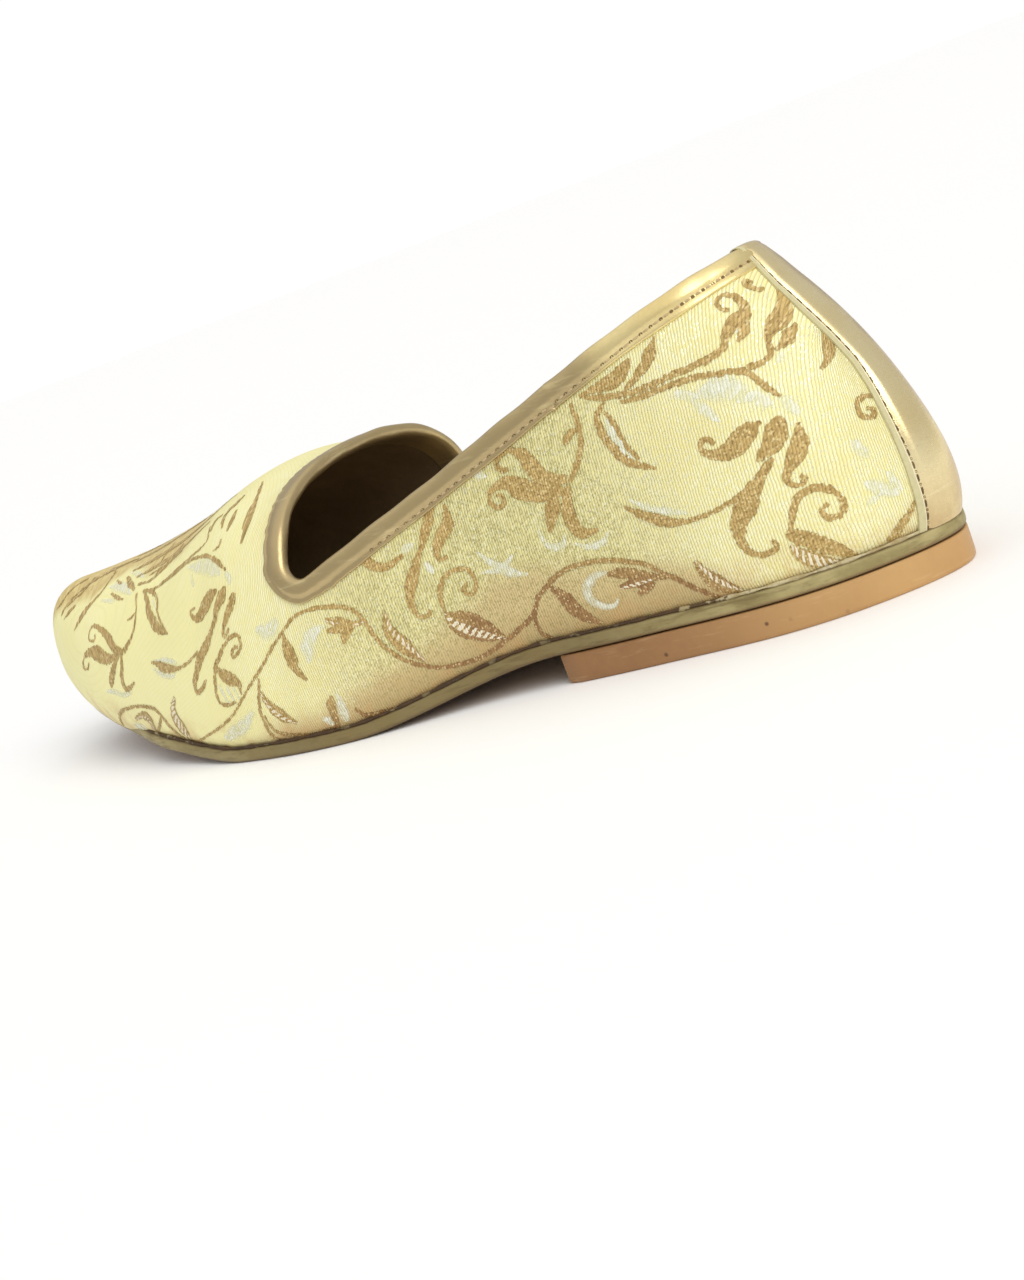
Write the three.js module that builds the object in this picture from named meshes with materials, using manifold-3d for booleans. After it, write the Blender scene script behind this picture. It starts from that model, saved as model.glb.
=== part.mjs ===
// A left mojari slip-on shoe: brocade upper, gold collar binding and heel strip, insole,
// thin outsole and a low block heel. Millimetres. +X runs from heel to toe, +Y to the
// wearer's left (the little-toe side of this shoe), +Z up from the floor.
import * as THREE from "three";
import Module from "manifold-3d";
import { mergeVertices } from "three/addons/utils/BufferGeometryUtils.js";

const wasm = await Module();
wasm.setup();

// Driving dimensions.
const LENGTH = 280;
const BALL_WIDTH = 95;
const INSTEP = 61;
const BACK_HEIGHT = 77;
const HEEL_HEIGHT = 7;
const HEEL_LENGTH = 82;
const SOLE_THICKNESS = 3.4;
const SOLE_MARGIN = 1.2;
const TREAD_START = 140;
const TREAD_END = 175;
const TOE_SPRING = 18.4;
const SPRING_POWER = 1.25;
const WALL = 1.8;
const TRIM = 0.8;
const GAP = 0.3;
const INSOLE_THICKNESS = 2.2;
const BINDING_WIDTH = 7;
const STRIP_TOP_WIDTH = 15.6;
const STRIP_FOOT_WIDTH = 18;
const STRIP_LEAN = 3.6;
const STRIP_FOLD = 10;
const THROAT_RADIUS = 5.5;
const THROAT_BOW = 6;
const BREAST_BOW = 2;

// How finely the forms are faceted, and how far cutting forms run past the shoe.
const STEPS_PER_RIB = 4;
const STEPS_UP = 13;
const OUTLINE_STEPS = 60;
const PROFILE_STEP = 5;
const BEYOND = 30;

// The last is skinned over ribs. Each rib leaves the sole's edge on both sides of the foot
// and climbs to the crest line.
//   foot     where the rib leaves the sole's edge, as a share of LENGTH
//   lateral  half width on the little-toe side there, as a share of BALL_WIDTH
//   medial   half width on the big-toe side there, as a share of BALL_WIDTH
//   crest    where the rib meets the crest line, as a share of LENGTH
//   height   height of the crest there, as a share of INSTEP
//   rise     height of the rib's steep lower stretch, as a share of INSTEP
//   swell    how far that stretch leans outwards, in millimetres
//   reach    length of the flat stretch beside the crest, as a share of BALL_WIDTH
//   spread   how much longer that stretch is on the big-toe side, as a factor
const RIBS = [
  {
    row: "back", foot: 0.004, lateral: 0, medial: 0, crest: 0.168, height: 1.42,
    rise: 0.31, swell: 8.7, reach: 0.23, spread: 1,
  },
  {
    row: "heel round", foot: 0.036, lateral: 0.155, medial: 0.16, crest: 0.169, height: 1.465,
    rise: 0.36, swell: 5.8, reach: 0.225, spread: 1,
  },
  {
    row: "heel side", foot: 0.107, lateral: 0.28, medial: 0.285, crest: 0.18, height: 1.52,
    rise: 0.43, swell: 3.5, reach: 0.25, spread: 1,
  },
  {
    row: "heel front", foot: 0.221, lateral: 0.338, medial: 0.316, crest: 0.262, height: 1.425,
    rise: 0.475, swell: 2.7, reach: 0.315, spread: 1,
  },
  {
    row: "waist", foot: 0.35, lateral: 0.383, medial: 0.312, crest: 0.39, height: 1.2,
    rise: 0.54, swell: 3.1, reach: 0.385, spread: 1,
  },
  {
    row: "throat", foot: 0.5, lateral: 0.5, medial: 0.347, crest: 0.521, height: 1,
    rise: 0.59, swell: 4, reach: 0.48, spread: 1,
  },
  {
    row: "ball", foot: 0.614, lateral: 0.503, medial: 0.421, crest: 0.603, height: 1,
    rise: 0.48, swell: 3.7, reach: 0.437, spread: 1.05,
  },
  {
    row: "fore", foot: 0.729, lateral: 0.415, medial: 0.453, crest: 0.699, height: 0.892,
    rise: 0.338, swell: 3.3, reach: 0.36, spread: 1.15,
  },
  {
    row: "toe side", foot: 0.846, lateral: 0.3, medial: 0.382, crest: 0.796, height: 0.811,
    rise: 0.26, swell: 3, reach: 0.28, spread: 1.2,
  },
  {
    row: "toe corner", foot: 0.948, lateral: 0.122, medial: 0.225, crest: 0.879, height: 0.775,
    rise: 0.225, swell: 3, reach: 0.19, spread: 1.15,
  },
  {
    row: "tip", foot: 0.989, lateral: -0.04, medial: 0.04, crest: 0.929, height: 0.762,
    rise: 0.22, swell: 3, reach: 0.18, spread: 1,
  },
];
const THROAT_RIB = 5;
const TIP_RIB = RIBS.length - 1;

// The collar edge seen from the side, from behind the heel to the throat corner.
//   along   distance from the heel, as a share of LENGTH
//   height  height of the edge, as a share of BACK_HEIGHT
const TOPLINE = [
  { place: "behind", along: -0.1, height: 1.005 },
  { place: "back", along: 0.04, height: 0.993 },
  { place: "shoulder", along: 0.112, height: 0.957 },
  { place: "quarter", along: 0.214, height: 0.847 },
  { place: "waist", along: 0.366, height: 0.657 },
  { place: "throat corner", along: 0.5, height: 0.499 },
];

// Value of one column of RIBS at a place between rows, on a smooth curve through the rows.
// An "even" column is level at both ends, any other runs straight on past them.
function column(name, place, even) {
  const values = RIBS.map((rib) => rib[name]);
  const before = even ? values[1] : 2 * values[0] - values[1];
  const after = even ? values[TIP_RIB - 1] : 2 * values[TIP_RIB] - values[TIP_RIB - 1];
  const ends = [before, ...values, after];
  const row = Math.min(Math.floor(place), TIP_RIB - 1);
  const t = place - row;
  const [a, b, c, d] = ends.slice(row, row + 4);
  const square = (2 * a - 5 * b + 4 * c - d) * t * t;
  const cube = (3 * b - a - 3 * c + d) * t * t * t;
  return 0.5 * (2 * b + (c - a) * t + square + cube);
}

// Height of the outsole's underside above the floor: heel seat, arch, flat tread, toe spring.
function treadHeight(x) {
  const climb = 1 - THREE.MathUtils.smoothstep(x, HEEL_LENGTH, TREAD_START);
  const lift = Math.max(x - TREAD_END, 0) / (LENGTH - TREAD_END);
  return HEEL_HEIGHT * climb + TOE_SPRING * Math.pow(lift, SPRING_POWER);
}

// Point of the upper's seat on the sole, seen from above. side is 1 for lateral, -1 for medial.
function seat(place, side) {
  const width = column(side > 0 ? "lateral" : "medial", place, false);
  return new THREE.Vector2(column("foot", place, true) * LENGTH, side * width * BALL_WIDTH);
}

// Direction out of the seat outline, seen from above.
function outward(place, side) {
  const nudge = 0.001;
  const ahead = seat(Math.min(place + nudge, TIP_RIB), side);
  const tangent = ahead.sub(seat(Math.max(place - nudge, 0), side)).normalize();
  return new THREE.Vector2(-side * tangent.y, side * tangent.x);
}

// Point of the crest line. It drifts from the heel's middle to the tip of the toe.
function crest(place) {
  const x = column("crest", place, true) * LENGTH;
  const start = RIBS[THROAT_RIB].crest * LENGTH;
  const end = RIBS[TIP_RIB].crest * LENGTH;
  const drift = Math.max((x - start) / (end - start), 0);
  const tip = RIBS[TIP_RIB].lateral * BALL_WIDTH;
  return new THREE.Vector3(x, tip * drift, column("height", place, true) * INSTEP);
}

// Fall of the crest line along X, level behind the heel front.
function crestSlope(place) {
  const nudge = 0.01;
  if (place < THROAT_RIB - 2) {
    return 0;
  }
  const run = crest(Math.min(place + nudge, TIP_RIB)).sub(crest(place - nudge));
  return THREE.MathUtils.clamp(run.z / run.x, -0.6, 0.1);
}

// One rib of the last's skin, from the sole's edge to the crest.
function rib(place, side) {
  const foot = seat(place, side);
  const out = outward(place, side);
  const top = crest(place);
  const rise = column("rise", place, true) * INSTEP;
  const swell = column("swell", place, true);
  const spread = side > 0 ? 1 : column("spread", place, true);
  const reach = column("reach", place, true) * spread * BALL_WIDTH;
  const base = treadHeight(foot.x) + SOLE_THICKNESS;
  const low = new THREE.Vector3(foot.x, foot.y, base);
  const steep = new THREE.Vector3(foot.x + out.x * swell, foot.y + out.y * swell, base + rise);
  const flat = new THREE.Vector3(out.x * reach, out.y * reach, out.x * reach * crestSlope(place));
  return new THREE.CubicBezierCurve3(low, steep, flat.add(top), top);
}

// The ribs' points as columns in a ring: heel to tip on the lateral side and back again on
// the medial side. The heel column and the tip column are shared.
const COLUMNS_PER_SIDE = TIP_RIB * STEPS_PER_RIB;
const RING = 2 * COLUMNS_PER_SIDE;
const mirror = (k) => (RING - k) % RING;
const ribPoints = Array.from({ length: RING }, (_, k) => {
  const side = k <= COLUMNS_PER_SIDE ? 1 : -1;
  const place = Math.min(k, mirror(k) || k) / STEPS_PER_RIB;
  return rib(place, side).getPoints(STEPS_UP);
});

// Outward direction of the skin at one ring column and step.
function skinNormal(k, j) {
  const before = ribPoints[(k + RING - 1) % RING];
  const after = ribPoints[(k + 1) % RING];
  const here = ribPoints[k];
  const along = after[j].clone().sub(before[j]);
  const up = j < STEPS_UP
    ? here[j + 1].clone().sub(here[j])
    : ribPoints[mirror(k)][j - 1].clone().sub(here[j - 1]);
  const normal = up.cross(along);
  return normal.length() > 1e-6 ? normal.normalize() : new THREE.Vector3(0, 0, 1);
}

// Turns closed triangles into a solid that can be joined and cut.
function solid(geometry) {
  const bare = geometry.clone();
  bare.deleteAttribute("normal");
  bare.deleteAttribute("uv");
  const merged = mergeVertices(bare, 1e-4);
  const vertProperties = new Float32Array(merged.attributes.position.array);
  const triVerts = new Uint32Array(merged.index.array);
  return new wasm.Manifold(new wasm.Mesh({ numProp: 3, vertProperties, triVerts }));
}

// The last's form, grown by offset (or shrunk, below zero) and run down through the sole.
function lastForm(offset) {
  const positions = [];
  const triangles = [];
  const rows = STEPS_UP + 2;
  const vertex = (k, row) => (k % RING) * rows + row;
  for (let k = 0; k < RING; k += 1) {
    const grown = ribPoints[k].map((point, j) => point.clone().addScaledVector(skinNormal(k, j), offset));
    positions.push(grown[0].x, grown[0].y, -BEYOND);
    grown.forEach((point) => positions.push(point.x, point.y, point.z));
  }
  for (let k = 0; k < RING; k += 1) {
    for (let row = 0; row < rows - 1; row += 1) {
      const a = vertex(k, row);
      const b = vertex(k, row + 1);
      const c = vertex(k + 1, row + 1);
      const d = vertex(k + 1, row);
      triangles.push(a, b, c, a, c, d);
    }
  }
  for (let k = 0; k < COLUMNS_PER_SIDE; k += 1) {
    const left = vertex(k, 0);
    const leftNext = vertex(k + 1, 0);
    const right = vertex(mirror(k), 0);
    const rightNext = vertex(mirror(k + 1), 0);
    if (leftNext !== rightNext) {
      triangles.push(left, leftNext, rightNext);
    }
    if (left !== right) {
      triangles.push(left, rightNext, right);
    }
  }
  const geometry = new THREE.BufferGeometry();
  geometry.setAttribute("position", new THREE.Float32BufferAttribute(positions, 3));
  geometry.setIndex(triangles);
  return solid(geometry);
}

// A side-view outline of (x, z) points, extruded across the whole shoe. bow moves the
// outline back by that much at half the ball width on either side, in a smooth curve.
function sidePrism(points, bow = 0) {
  const depth = 2 * BALL_WIDTH;
  const steps = bow ? 32 : 1;
  const geometry = new THREE.ExtrudeGeometry(new THREE.Shape(points), { depth, steps, bevelEnabled: false });
  geometry.rotateX(Math.PI / 2);
  geometry.translate(0, depth / 2, 0);
  const position = geometry.attributes.position;
  for (let i = 0; i < position.count; i += 1) {
    const across = Math.min(Math.abs(position.getY(i)) / (BALL_WIDTH / 2), 1);
    position.setX(i, position.getX(i) - bow * across * across);
  }
  return solid(geometry);
}

// Everything between two heights that follow the sole: low and high are measured from the
// underside of the outsole.
function soleLayer(low, high) {
  const stations = [];
  for (let x = -BEYOND; x <= LENGTH + BEYOND; x += PROFILE_STEP) {
    stations.push(x);
  }
  const under = stations.map((x) => new THREE.Vector2(x, treadHeight(x) + low));
  const over = stations.map((x) => new THREE.Vector2(x, treadHeight(x) + high));
  return sidePrism([...under, ...over.reverse()]);
}

// The space above the collar edge. grow moves the edge into the upper, or away below zero.
function openingForm(grow) {
  const rows = TOPLINE.map((row) => new THREE.Vector2(row.along * LENGTH, row.height * BACK_HEIGHT));
  const edge = new THREE.SplineCurve(rows);
  const move = (point, tangent) => new THREE.Vector2(point.x + grow * tangent.y, point.y - grow * tangent.x);
  const points = [];
  for (let i = 0; i <= 24; i += 1) {
    points.push(move(edge.getPoint(i / 24), edge.getTangent(i / 24)));
  }
  const end = edge.getPoint(1);
  const fall = edge.getTangent(1).angle() - 2 * Math.PI;
  const centre = new THREE.Vector2(
    end.x - THROAT_RADIUS * Math.sin(fall),
    end.y + THROAT_RADIUS * Math.cos(fall),
  );
  for (let i = 1; i <= 6; i += 1) {
    const turn = THREE.MathUtils.lerp(fall, Math.PI / 2, i / 6);
    const radius = THROAT_RADIUS + grow;
    points.push(new THREE.Vector2(centre.x + radius * Math.sin(turn), centre.y - radius * Math.cos(turn)));
  }
  const top = BACK_HEIGHT + BEYOND;
  points.push(new THREE.Vector2(points.at(-1).x, top), new THREE.Vector2(points[0].x, top));
  return sidePrism(points, THROAT_BOW);
}

// The band up the back of the heel that the strip covers, widened by a clearance. It leans
// towards the big-toe side at the top.
function stripZone(clearance) {
  const foot = STRIP_FOOT_WIDTH / 2 + clearance;
  const head = STRIP_TOP_WIDTH / 2 + clearance;
  const outline = new THREE.Shape([
    new THREE.Vector2(foot, 0),
    new THREE.Vector2(head - STRIP_LEAN, BACK_HEIGHT),
    new THREE.Vector2(head - STRIP_LEAN, BACK_HEIGHT + BEYOND),
    new THREE.Vector2(-head - STRIP_LEAN, BACK_HEIGHT + BEYOND),
    new THREE.Vector2(-head - STRIP_LEAN, BACK_HEIGHT),
    new THREE.Vector2(-foot, 0),
  ]);
  const geometry = new THREE.ExtrudeGeometry(outline, { depth: HEEL_LENGTH + BEYOND, bevelEnabled: false });
  geometry.rotateX(Math.PI / 2);
  geometry.rotateZ(Math.PI / 2);
  geometry.translate(-BEYOND, 0, 0);
  return solid(geometry);
}

// The sole's outline seen from above, extruded from low to high. It is the seat outline,
// grown by SOLE_MARGIN.
function soleOutline(low, high) {
  const points = [];
  for (let i = 0; i < OUTLINE_STEPS; i += 1) {
    const turn = (2 * TIP_RIB * i) / OUTLINE_STEPS;
    const side = turn <= TIP_RIB ? 1 : -1;
    const place = side > 0 ? turn : 2 * TIP_RIB - turn;
    points.push(seat(place, side).addScaledVector(outward(place, side), SOLE_MARGIN));
  }
  const geometry = new THREE.ExtrudeGeometry(new THREE.Shape(points), { depth: high - low, bevelEnabled: false });
  geometry.translate(0, 0, low);
  return solid(geometry);
}

// The heel's side of the breast, a face that is hollowed slightly towards the back.
function heelZone() {
  const half = BALL_WIDTH;
  const outline = new THREE.Shape();
  outline.moveTo(-BEYOND, -half);
  outline.lineTo(HEEL_LENGTH, -half);
  outline.quadraticCurveTo(HEEL_LENGTH - 2 * BREAST_BOW, 0, HEEL_LENGTH, half);
  outline.lineTo(-BEYOND, half);
  outline.closePath();
  return solid(new THREE.ExtrudeGeometry(outline, { depth: HEEL_HEIGHT - GAP, curveSegments: 8, bevelEnabled: false }));
}

const overlay = GAP + TRIM;
const soleTop = SOLE_THICKNESS + GAP;
const aboveSole = soleLayer(soleTop, 3 * BACK_HEIGHT);

function buildUpper() {
  return lastForm(0).subtract(lastForm(-WALL)).intersect(aboveSole).subtract(openingForm(0));
}

// A thin skin on both faces of the upper's wall and over its edge, clear of the wall itself.
function trimSkin() {
  const skin = lastForm(overlay).subtract(lastForm(-WALL - overlay)).subtract(openingForm(-overlay));
  const wall = lastForm(GAP).subtract(lastForm(-WALL - GAP)).subtract(openingForm(-GAP));
  return skin.subtract(wall).intersect(aboveSole);
}

function buildBinding() {
  return trimSkin().intersect(openingForm(BINDING_WIDTH)).subtract(stripZone(GAP));
}

function buildHeelStrip() {
  const inside = lastForm(-WALL / 2).subtract(openingForm(STRIP_FOLD));
  return trimSkin().intersect(stripZone(0)).subtract(inside);
}

function buildInsole() {
  const top = soleTop + INSOLE_THICKNESS;
  return lastForm(-WALL - GAP).intersect(soleLayer(soleTop, top));
}

function buildOutsole() {
  return soleOutline(-BEYOND, BACK_HEIGHT).intersect(soleLayer(0, SOLE_THICKNESS));
}

function buildHeel() {
  return soleOutline(0, HEEL_HEIGHT).intersect(heelZone());
}

// One named piece with its finish.
function piece(name, body, color, roughness, metalness) {
  const { vertProperties, triVerts } = body.getMesh();
  const geometry = new THREE.BufferGeometry();
  geometry.setAttribute("position", new THREE.Float32BufferAttribute(vertProperties, 3));
  geometry.setIndex(Array.from(triVerts));
  const material = new THREE.MeshStandardMaterial({ color, roughness, metalness });
  const mesh = new THREE.Mesh(geometry, material);
  mesh.name = name;
  return mesh;
}

const shoe = new THREE.Group();
shoe.add(
  piece("outsole", buildOutsole(), 0x9a8a56, 0.6, 0.2),
  piece("heel", buildHeel(), 0xc99468, 0.55, 0),
  piece("insole", buildInsole(), 0x5a4632, 0.85, 0),
  piece("upper", buildUpper(), 0xd8c684, 0.5, 0.35),
  piece("collar_binding", buildBinding(), 0xbfa468, 0.35, 0.6),
  piece("heel_strip", buildHeelStrip(), 0xc9b27a, 0.35, 0.6),
);

// The origin is the middle of the shoe's box, on the floor.
const box = new THREE.Box3().setFromObject(shoe);
const middle = box.getCenter(new THREE.Vector3());
shoe.position.set(-middle.x, -middle.y, -box.min.z);

export default shoe;
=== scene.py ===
"""A left mojari slip-on shoe in gold brocade, standing empty on a pale floor.

Metres. +X runs from heel to toe, +Y to the little-toe side, +Z up from the floor.
"""

import math

import bpy
import numpy as np
from mathutils import Matrix


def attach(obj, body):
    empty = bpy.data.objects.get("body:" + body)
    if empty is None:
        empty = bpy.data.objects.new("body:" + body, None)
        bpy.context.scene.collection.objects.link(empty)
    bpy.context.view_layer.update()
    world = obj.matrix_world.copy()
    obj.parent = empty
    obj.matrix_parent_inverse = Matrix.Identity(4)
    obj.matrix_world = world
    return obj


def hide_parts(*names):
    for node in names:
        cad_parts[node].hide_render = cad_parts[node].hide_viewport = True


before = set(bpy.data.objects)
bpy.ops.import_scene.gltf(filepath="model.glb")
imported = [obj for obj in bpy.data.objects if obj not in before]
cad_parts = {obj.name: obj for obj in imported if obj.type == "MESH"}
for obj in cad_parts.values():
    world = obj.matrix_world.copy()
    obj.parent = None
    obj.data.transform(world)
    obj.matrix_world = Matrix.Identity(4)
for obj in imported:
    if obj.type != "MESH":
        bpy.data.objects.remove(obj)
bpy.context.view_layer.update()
rng = np.random.default_rng(12)
MM = 0.001

# ---------------------------------------------------------------- sizes, in millimetres
LENGTH, BALL_WIDTH, INSTEP, BACK_HEIGHT = 280.0, 95.0, 61.0, 77.0
HEEL_HEIGHT, HEEL_LENGTH, SOLE_THICKNESS = 7.0, 82.0, 3.4
TREAD_START, TREAD_END, TOE_SPRING, SPRING_POWER = 140.0, 175.0, 18.4, 1.25
WALL, THROAT_RADIUS, THROAT_BOW, BREAST_BOW = 1.8, 5.5, 6.0, 2.0
# The last's own frame starts at the heel; the shoe's frame is this much further on.
SHIFT = np.array([138.42, 2.85, 0.0])
RIB_PITCH = 0.62

# Ribs of the last: foot, lateral, medial, crest, height, rise, swell, reach, spread.
RIBS = np.array([
    [0.004, 0.000, 0.000, 0.168, 1.420, 0.310, 8.7, 0.230, 1.00],
    [0.036, 0.155, 0.160, 0.169, 1.465, 0.360, 5.8, 0.225, 1.00],
    [0.107, 0.280, 0.285, 0.180, 1.520, 0.430, 3.5, 0.250, 1.00],
    [0.221, 0.338, 0.316, 0.262, 1.425, 0.475, 2.7, 0.315, 1.00],
    [0.350, 0.383, 0.312, 0.390, 1.200, 0.540, 3.1, 0.385, 1.00],
    [0.500, 0.500, 0.347, 0.521, 1.000, 0.590, 4.0, 0.480, 1.00],
    [0.614, 0.503, 0.421, 0.603, 1.000, 0.480, 3.7, 0.437, 1.05],
    [0.729, 0.415, 0.453, 0.699, 0.892, 0.338, 3.3, 0.360, 1.15],
    [0.846, 0.300, 0.382, 0.796, 0.811, 0.260, 3.0, 0.280, 1.20],
    [0.948, 0.122, 0.225, 0.879, 0.775, 0.225, 3.0, 0.190, 1.15],
    [0.989, -0.040, 0.040, 0.929, 0.762, 0.220, 3.0, 0.180, 1.00],
])
FOOT, LATERAL, MEDIAL, CREST, HEIGHT, RISE, SWELL, REACH, SPREAD = range(9)
THROAT_RIB, TIP_RIB = 5, 10
# Collar edge from the side: distance from the heel / LENGTH, height / BACK_HEIGHT.
TOPLINE = np.array([
    [-0.1, 1.005], [0.04, 0.993], [0.112, 0.957], [0.214, 0.847], [0.366, 0.657], [0.5, 0.499],
])


# ---------------------------------------------------------------- the last
def through(a, b, c, d, t):
    """Catmull-Rom curve from b at t = 0 to c at t = 1, with a before and d after."""
    return 0.5 * (2 * b + (c - a) * t + (2 * a - 5 * b + 4 * c - d) * t**2 + (3 * b - a - 3 * c + d) * t**3)


def lengths(points):
    """Distance run along a line of points, at each of them."""
    return np.concatenate([[0], np.cumsum(np.linalg.norm(np.diff(points, axis=0), axis=1))])


def unit(vectors):
    return vectors / np.linalg.norm(vectors, axis=1, keepdims=True)


def column(k, place, even):
    """One column of RIBS at a place between rows, on a smooth curve through the rows."""
    v = RIBS[:, k]
    first, last = (v[1], v[-2]) if even else (2 * v[0] - v[1], 2 * v[-1] - v[-2])
    ends = np.concatenate([[first], v, [last]])
    place = np.asarray(place, float)
    row = np.minimum(np.floor(place).astype(int), TIP_RIB - 1)
    return through(ends[row], ends[row + 1], ends[row + 2], ends[row + 3], place - row)


def tread(x):
    """Height of the outsole's underside."""
    q = np.clip((np.asarray(x, float) - HEEL_LENGTH) / (TREAD_START - HEEL_LENGTH), 0, 1)
    lift = np.maximum(np.asarray(x, float) - TREAD_END, 0) / (LENGTH - TREAD_END)
    return HEEL_HEIGHT * (1 - q * q * (3 - 2 * q)) + TOE_SPRING * lift**SPRING_POWER


def seat(place, side):
    """Where a rib leaves the sole's edge, seen from above."""
    width = np.where(np.asarray(side) > 0, column(LATERAL, place, False), column(MEDIAL, place, False))
    return np.stack([column(FOOT, place, True) * LENGTH, side * width * BALL_WIDTH], -1)


def outward(place, side):
    """The level way off the sole's edge."""
    t = seat(np.minimum(place + 0.001, TIP_RIB), side) - seat(np.maximum(place - 0.001, 0), side)
    t /= np.linalg.norm(t, axis=-1, keepdims=True) + 1e-12
    return np.stack([-side * t[..., 1], side * t[..., 0]], -1)


def crest(place):
    """Where a rib meets the crest line, which drifts sideways from the throat to the tip."""
    x = column(CREST, place, True) * LENGTH
    start, end = RIBS[THROAT_RIB, CREST] * LENGTH, RIBS[TIP_RIB, CREST] * LENGTH
    drift = np.maximum((x - start) / (end - start), 0)
    y = RIBS[TIP_RIB, LATERAL] * BALL_WIDTH * drift
    return np.stack([x, y, column(HEIGHT, place, True) * INSTEP], -1)


def crest_slope(place):
    run = crest(np.minimum(place + 0.01, TIP_RIB)) - crest(np.maximum(place - 0.01, 0))
    steep = run[..., 2] / np.where(np.abs(run[..., 0]) < 1e-9, 1e-9, run[..., 0])
    return np.where(place < 3, 0, np.clip(steep, -0.6, 0.1))


def skin(place, side, t):
    """Point of the last's skin, in its own frame: t runs from the sole's edge to the crest."""
    place, side, t = np.broadcast_arrays(*[np.asarray(v, float) for v in (place, side, t)])
    foot, out, top = seat(place, side), outward(place, side), crest(place)
    swell, rise = column(SWELL, place, True), column(RISE, place, True) * INSTEP
    spread = np.where(side > 0, 1, column(SPREAD, place, True))
    reach = column(REACH, place, True) * spread * BALL_WIDTH
    base = tread(foot[..., 0]) + SOLE_THICKNESS
    x, y, out_x, out_y = foot[..., 0], foot[..., 1], out[..., 0], out[..., 1]
    low = np.stack([x, y, base], -1)
    steep = np.stack([x + out_x * swell, y + out_y * swell, base + rise], -1)
    lean = np.stack([out_x * reach, out_y * reach, out_x * reach * crest_slope(place)], -1)
    t = t[..., None]
    u = 1 - t
    return low * u**3 + 3 * steep * u * u * t + 3 * (top + lean) * u * t * t + top * t**3


def skin_normal(place, side, t):
    """The way off the skin."""
    place, side, t = np.broadcast_arrays(*[np.asarray(v, float) for v in (place, side, t)])
    t = np.clip(t, 0, 0.994)
    e = 2e-3
    dp = skin(np.minimum(place + e, TIP_RIB), side, t) - skin(np.maximum(place - e, 0), side, t)
    dt = skin(place, side, t + e) - skin(place, side, np.maximum(t - e, 0))
    n = np.cross(dt, dp) * side[..., None]
    return n / (np.linalg.norm(n, axis=-1, keepdims=True) + 1e-12)


# Cloth coordinates: a is the distance round the lateral seat line from the middle of the
# heel, h the distance up the skin from the sole. Past the crest h runs down the other side.
CELLS_A_RIB, CELLS_UP = 40, 240
STATIONS = np.linspace(0, TIP_RIB, CELLS_A_RIB * TIP_RIB + 1)
LEVELS = np.linspace(0, 1, CELLS_UP + 1)
ROUND = lengths(skin(STATIONS, 1, 0.0))


def climb_tables(side):
    """Full height of the skin at each of STATIONS, and the t of each share of that height."""
    steps = np.linalg.norm(np.diff(skin(STATIONS[:, None], side, LEVELS[None]), axis=1), axis=2)
    high = np.concatenate([np.zeros((len(STATIONS), 1)), np.cumsum(steps, axis=1)], 1)
    return high[:, -1], np.array([np.interp(LEVELS * row[-1], row, LEVELS) for row in high])


CLIMB, LEVEL_AT = {}, {}
for each_side in (1, -1):
    CLIMB[each_side], LEVEL_AT[each_side] = climb_tables(each_side)


def on_skin(a, h, side):
    """(place, side, t) of a cloth coordinate."""
    a, h, side = np.broadcast_arrays(*[np.asarray(v, float) for v in (a, h, side)])
    place = np.interp(a, ROUND, STATIONS)
    near, far = np.interp(place, STATIONS, CLIMB[1]), np.interp(place, STATIONS, CLIMB[-1])
    mine, other = np.where(side > 0, near, far), np.where(side > 0, far, near)
    over = h > mine
    side = np.where(over, -side, side)
    q = np.clip(np.where(over, (mine + other - h) / other, h / mine), 0, 1)
    short = 1e-4
    i = np.clip(place * CELLS_A_RIB, 0, CELLS_A_RIB * TIP_RIB - short)
    j = np.clip(q * CELLS_UP, 0, CELLS_UP - short)
    i0, j0 = i.astype(int), j.astype(int)
    fi, fj = i - i0, j - j0

    def look(table):
        low = table[i0, j0] * (1 - fi) + table[i0 + 1, j0] * fi
        high = table[i0, j0 + 1] * (1 - fi) + table[i0 + 1, j0 + 1] * fi
        return low * (1 - fj) + high * fj

    return place, side, np.where(side > 0, look(LEVEL_AT[1]), look(LEVEL_AT[-1]))


# ---------------------------------------------------------------- the collar edge
def collar_profile():
    """Side view of the collar edge: the topline, then the round throat corner."""
    p = TOPLINE * [LENGTH, BACK_HEIGHT]
    line = []
    last = len(p) - 1
    for i in range(last):
        p0, p1, p2, p3 = p[max(i - 1, 0)], p[i], p[i + 1], p[min(i + 2, last)]
        for w in np.linspace(0, 1, 48, endpoint=False):
            v0, v1 = (p2 - p0) / 2, (p3 - p1) / 2
            bend = (2 * p1 - 2 * p2 + v0 + v1) * w**3 + (3 * p2 - 3 * p1 - 2 * v0 - v1) * w * w
            line.append(bend + v0 * w + p1)
    line.append(p[-1])
    line = np.array(line)
    fall = math.atan2(*(line[-1] - line[-2])[::-1])
    centre = line[-1] + THROAT_RADIUS * np.array([-math.sin(fall), math.cos(fall)])
    turn = np.linspace(fall, math.pi / 2, 61)
    arc = centre + THROAT_RADIUS * np.stack([np.sin(turn), -np.cos(turn)], -1)
    return line, arc


TOP_EDGE, CORNER = collar_profile()
THROAT_X = CORNER[-1, 0]


def bowed(point):
    """Distance along the shoe, as the bowed throat counts it."""
    return point[..., 0] + THROAT_BOW * np.minimum(np.abs(point[..., 1]) / (BALL_WIDTH / 2), 1) ** 2


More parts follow.
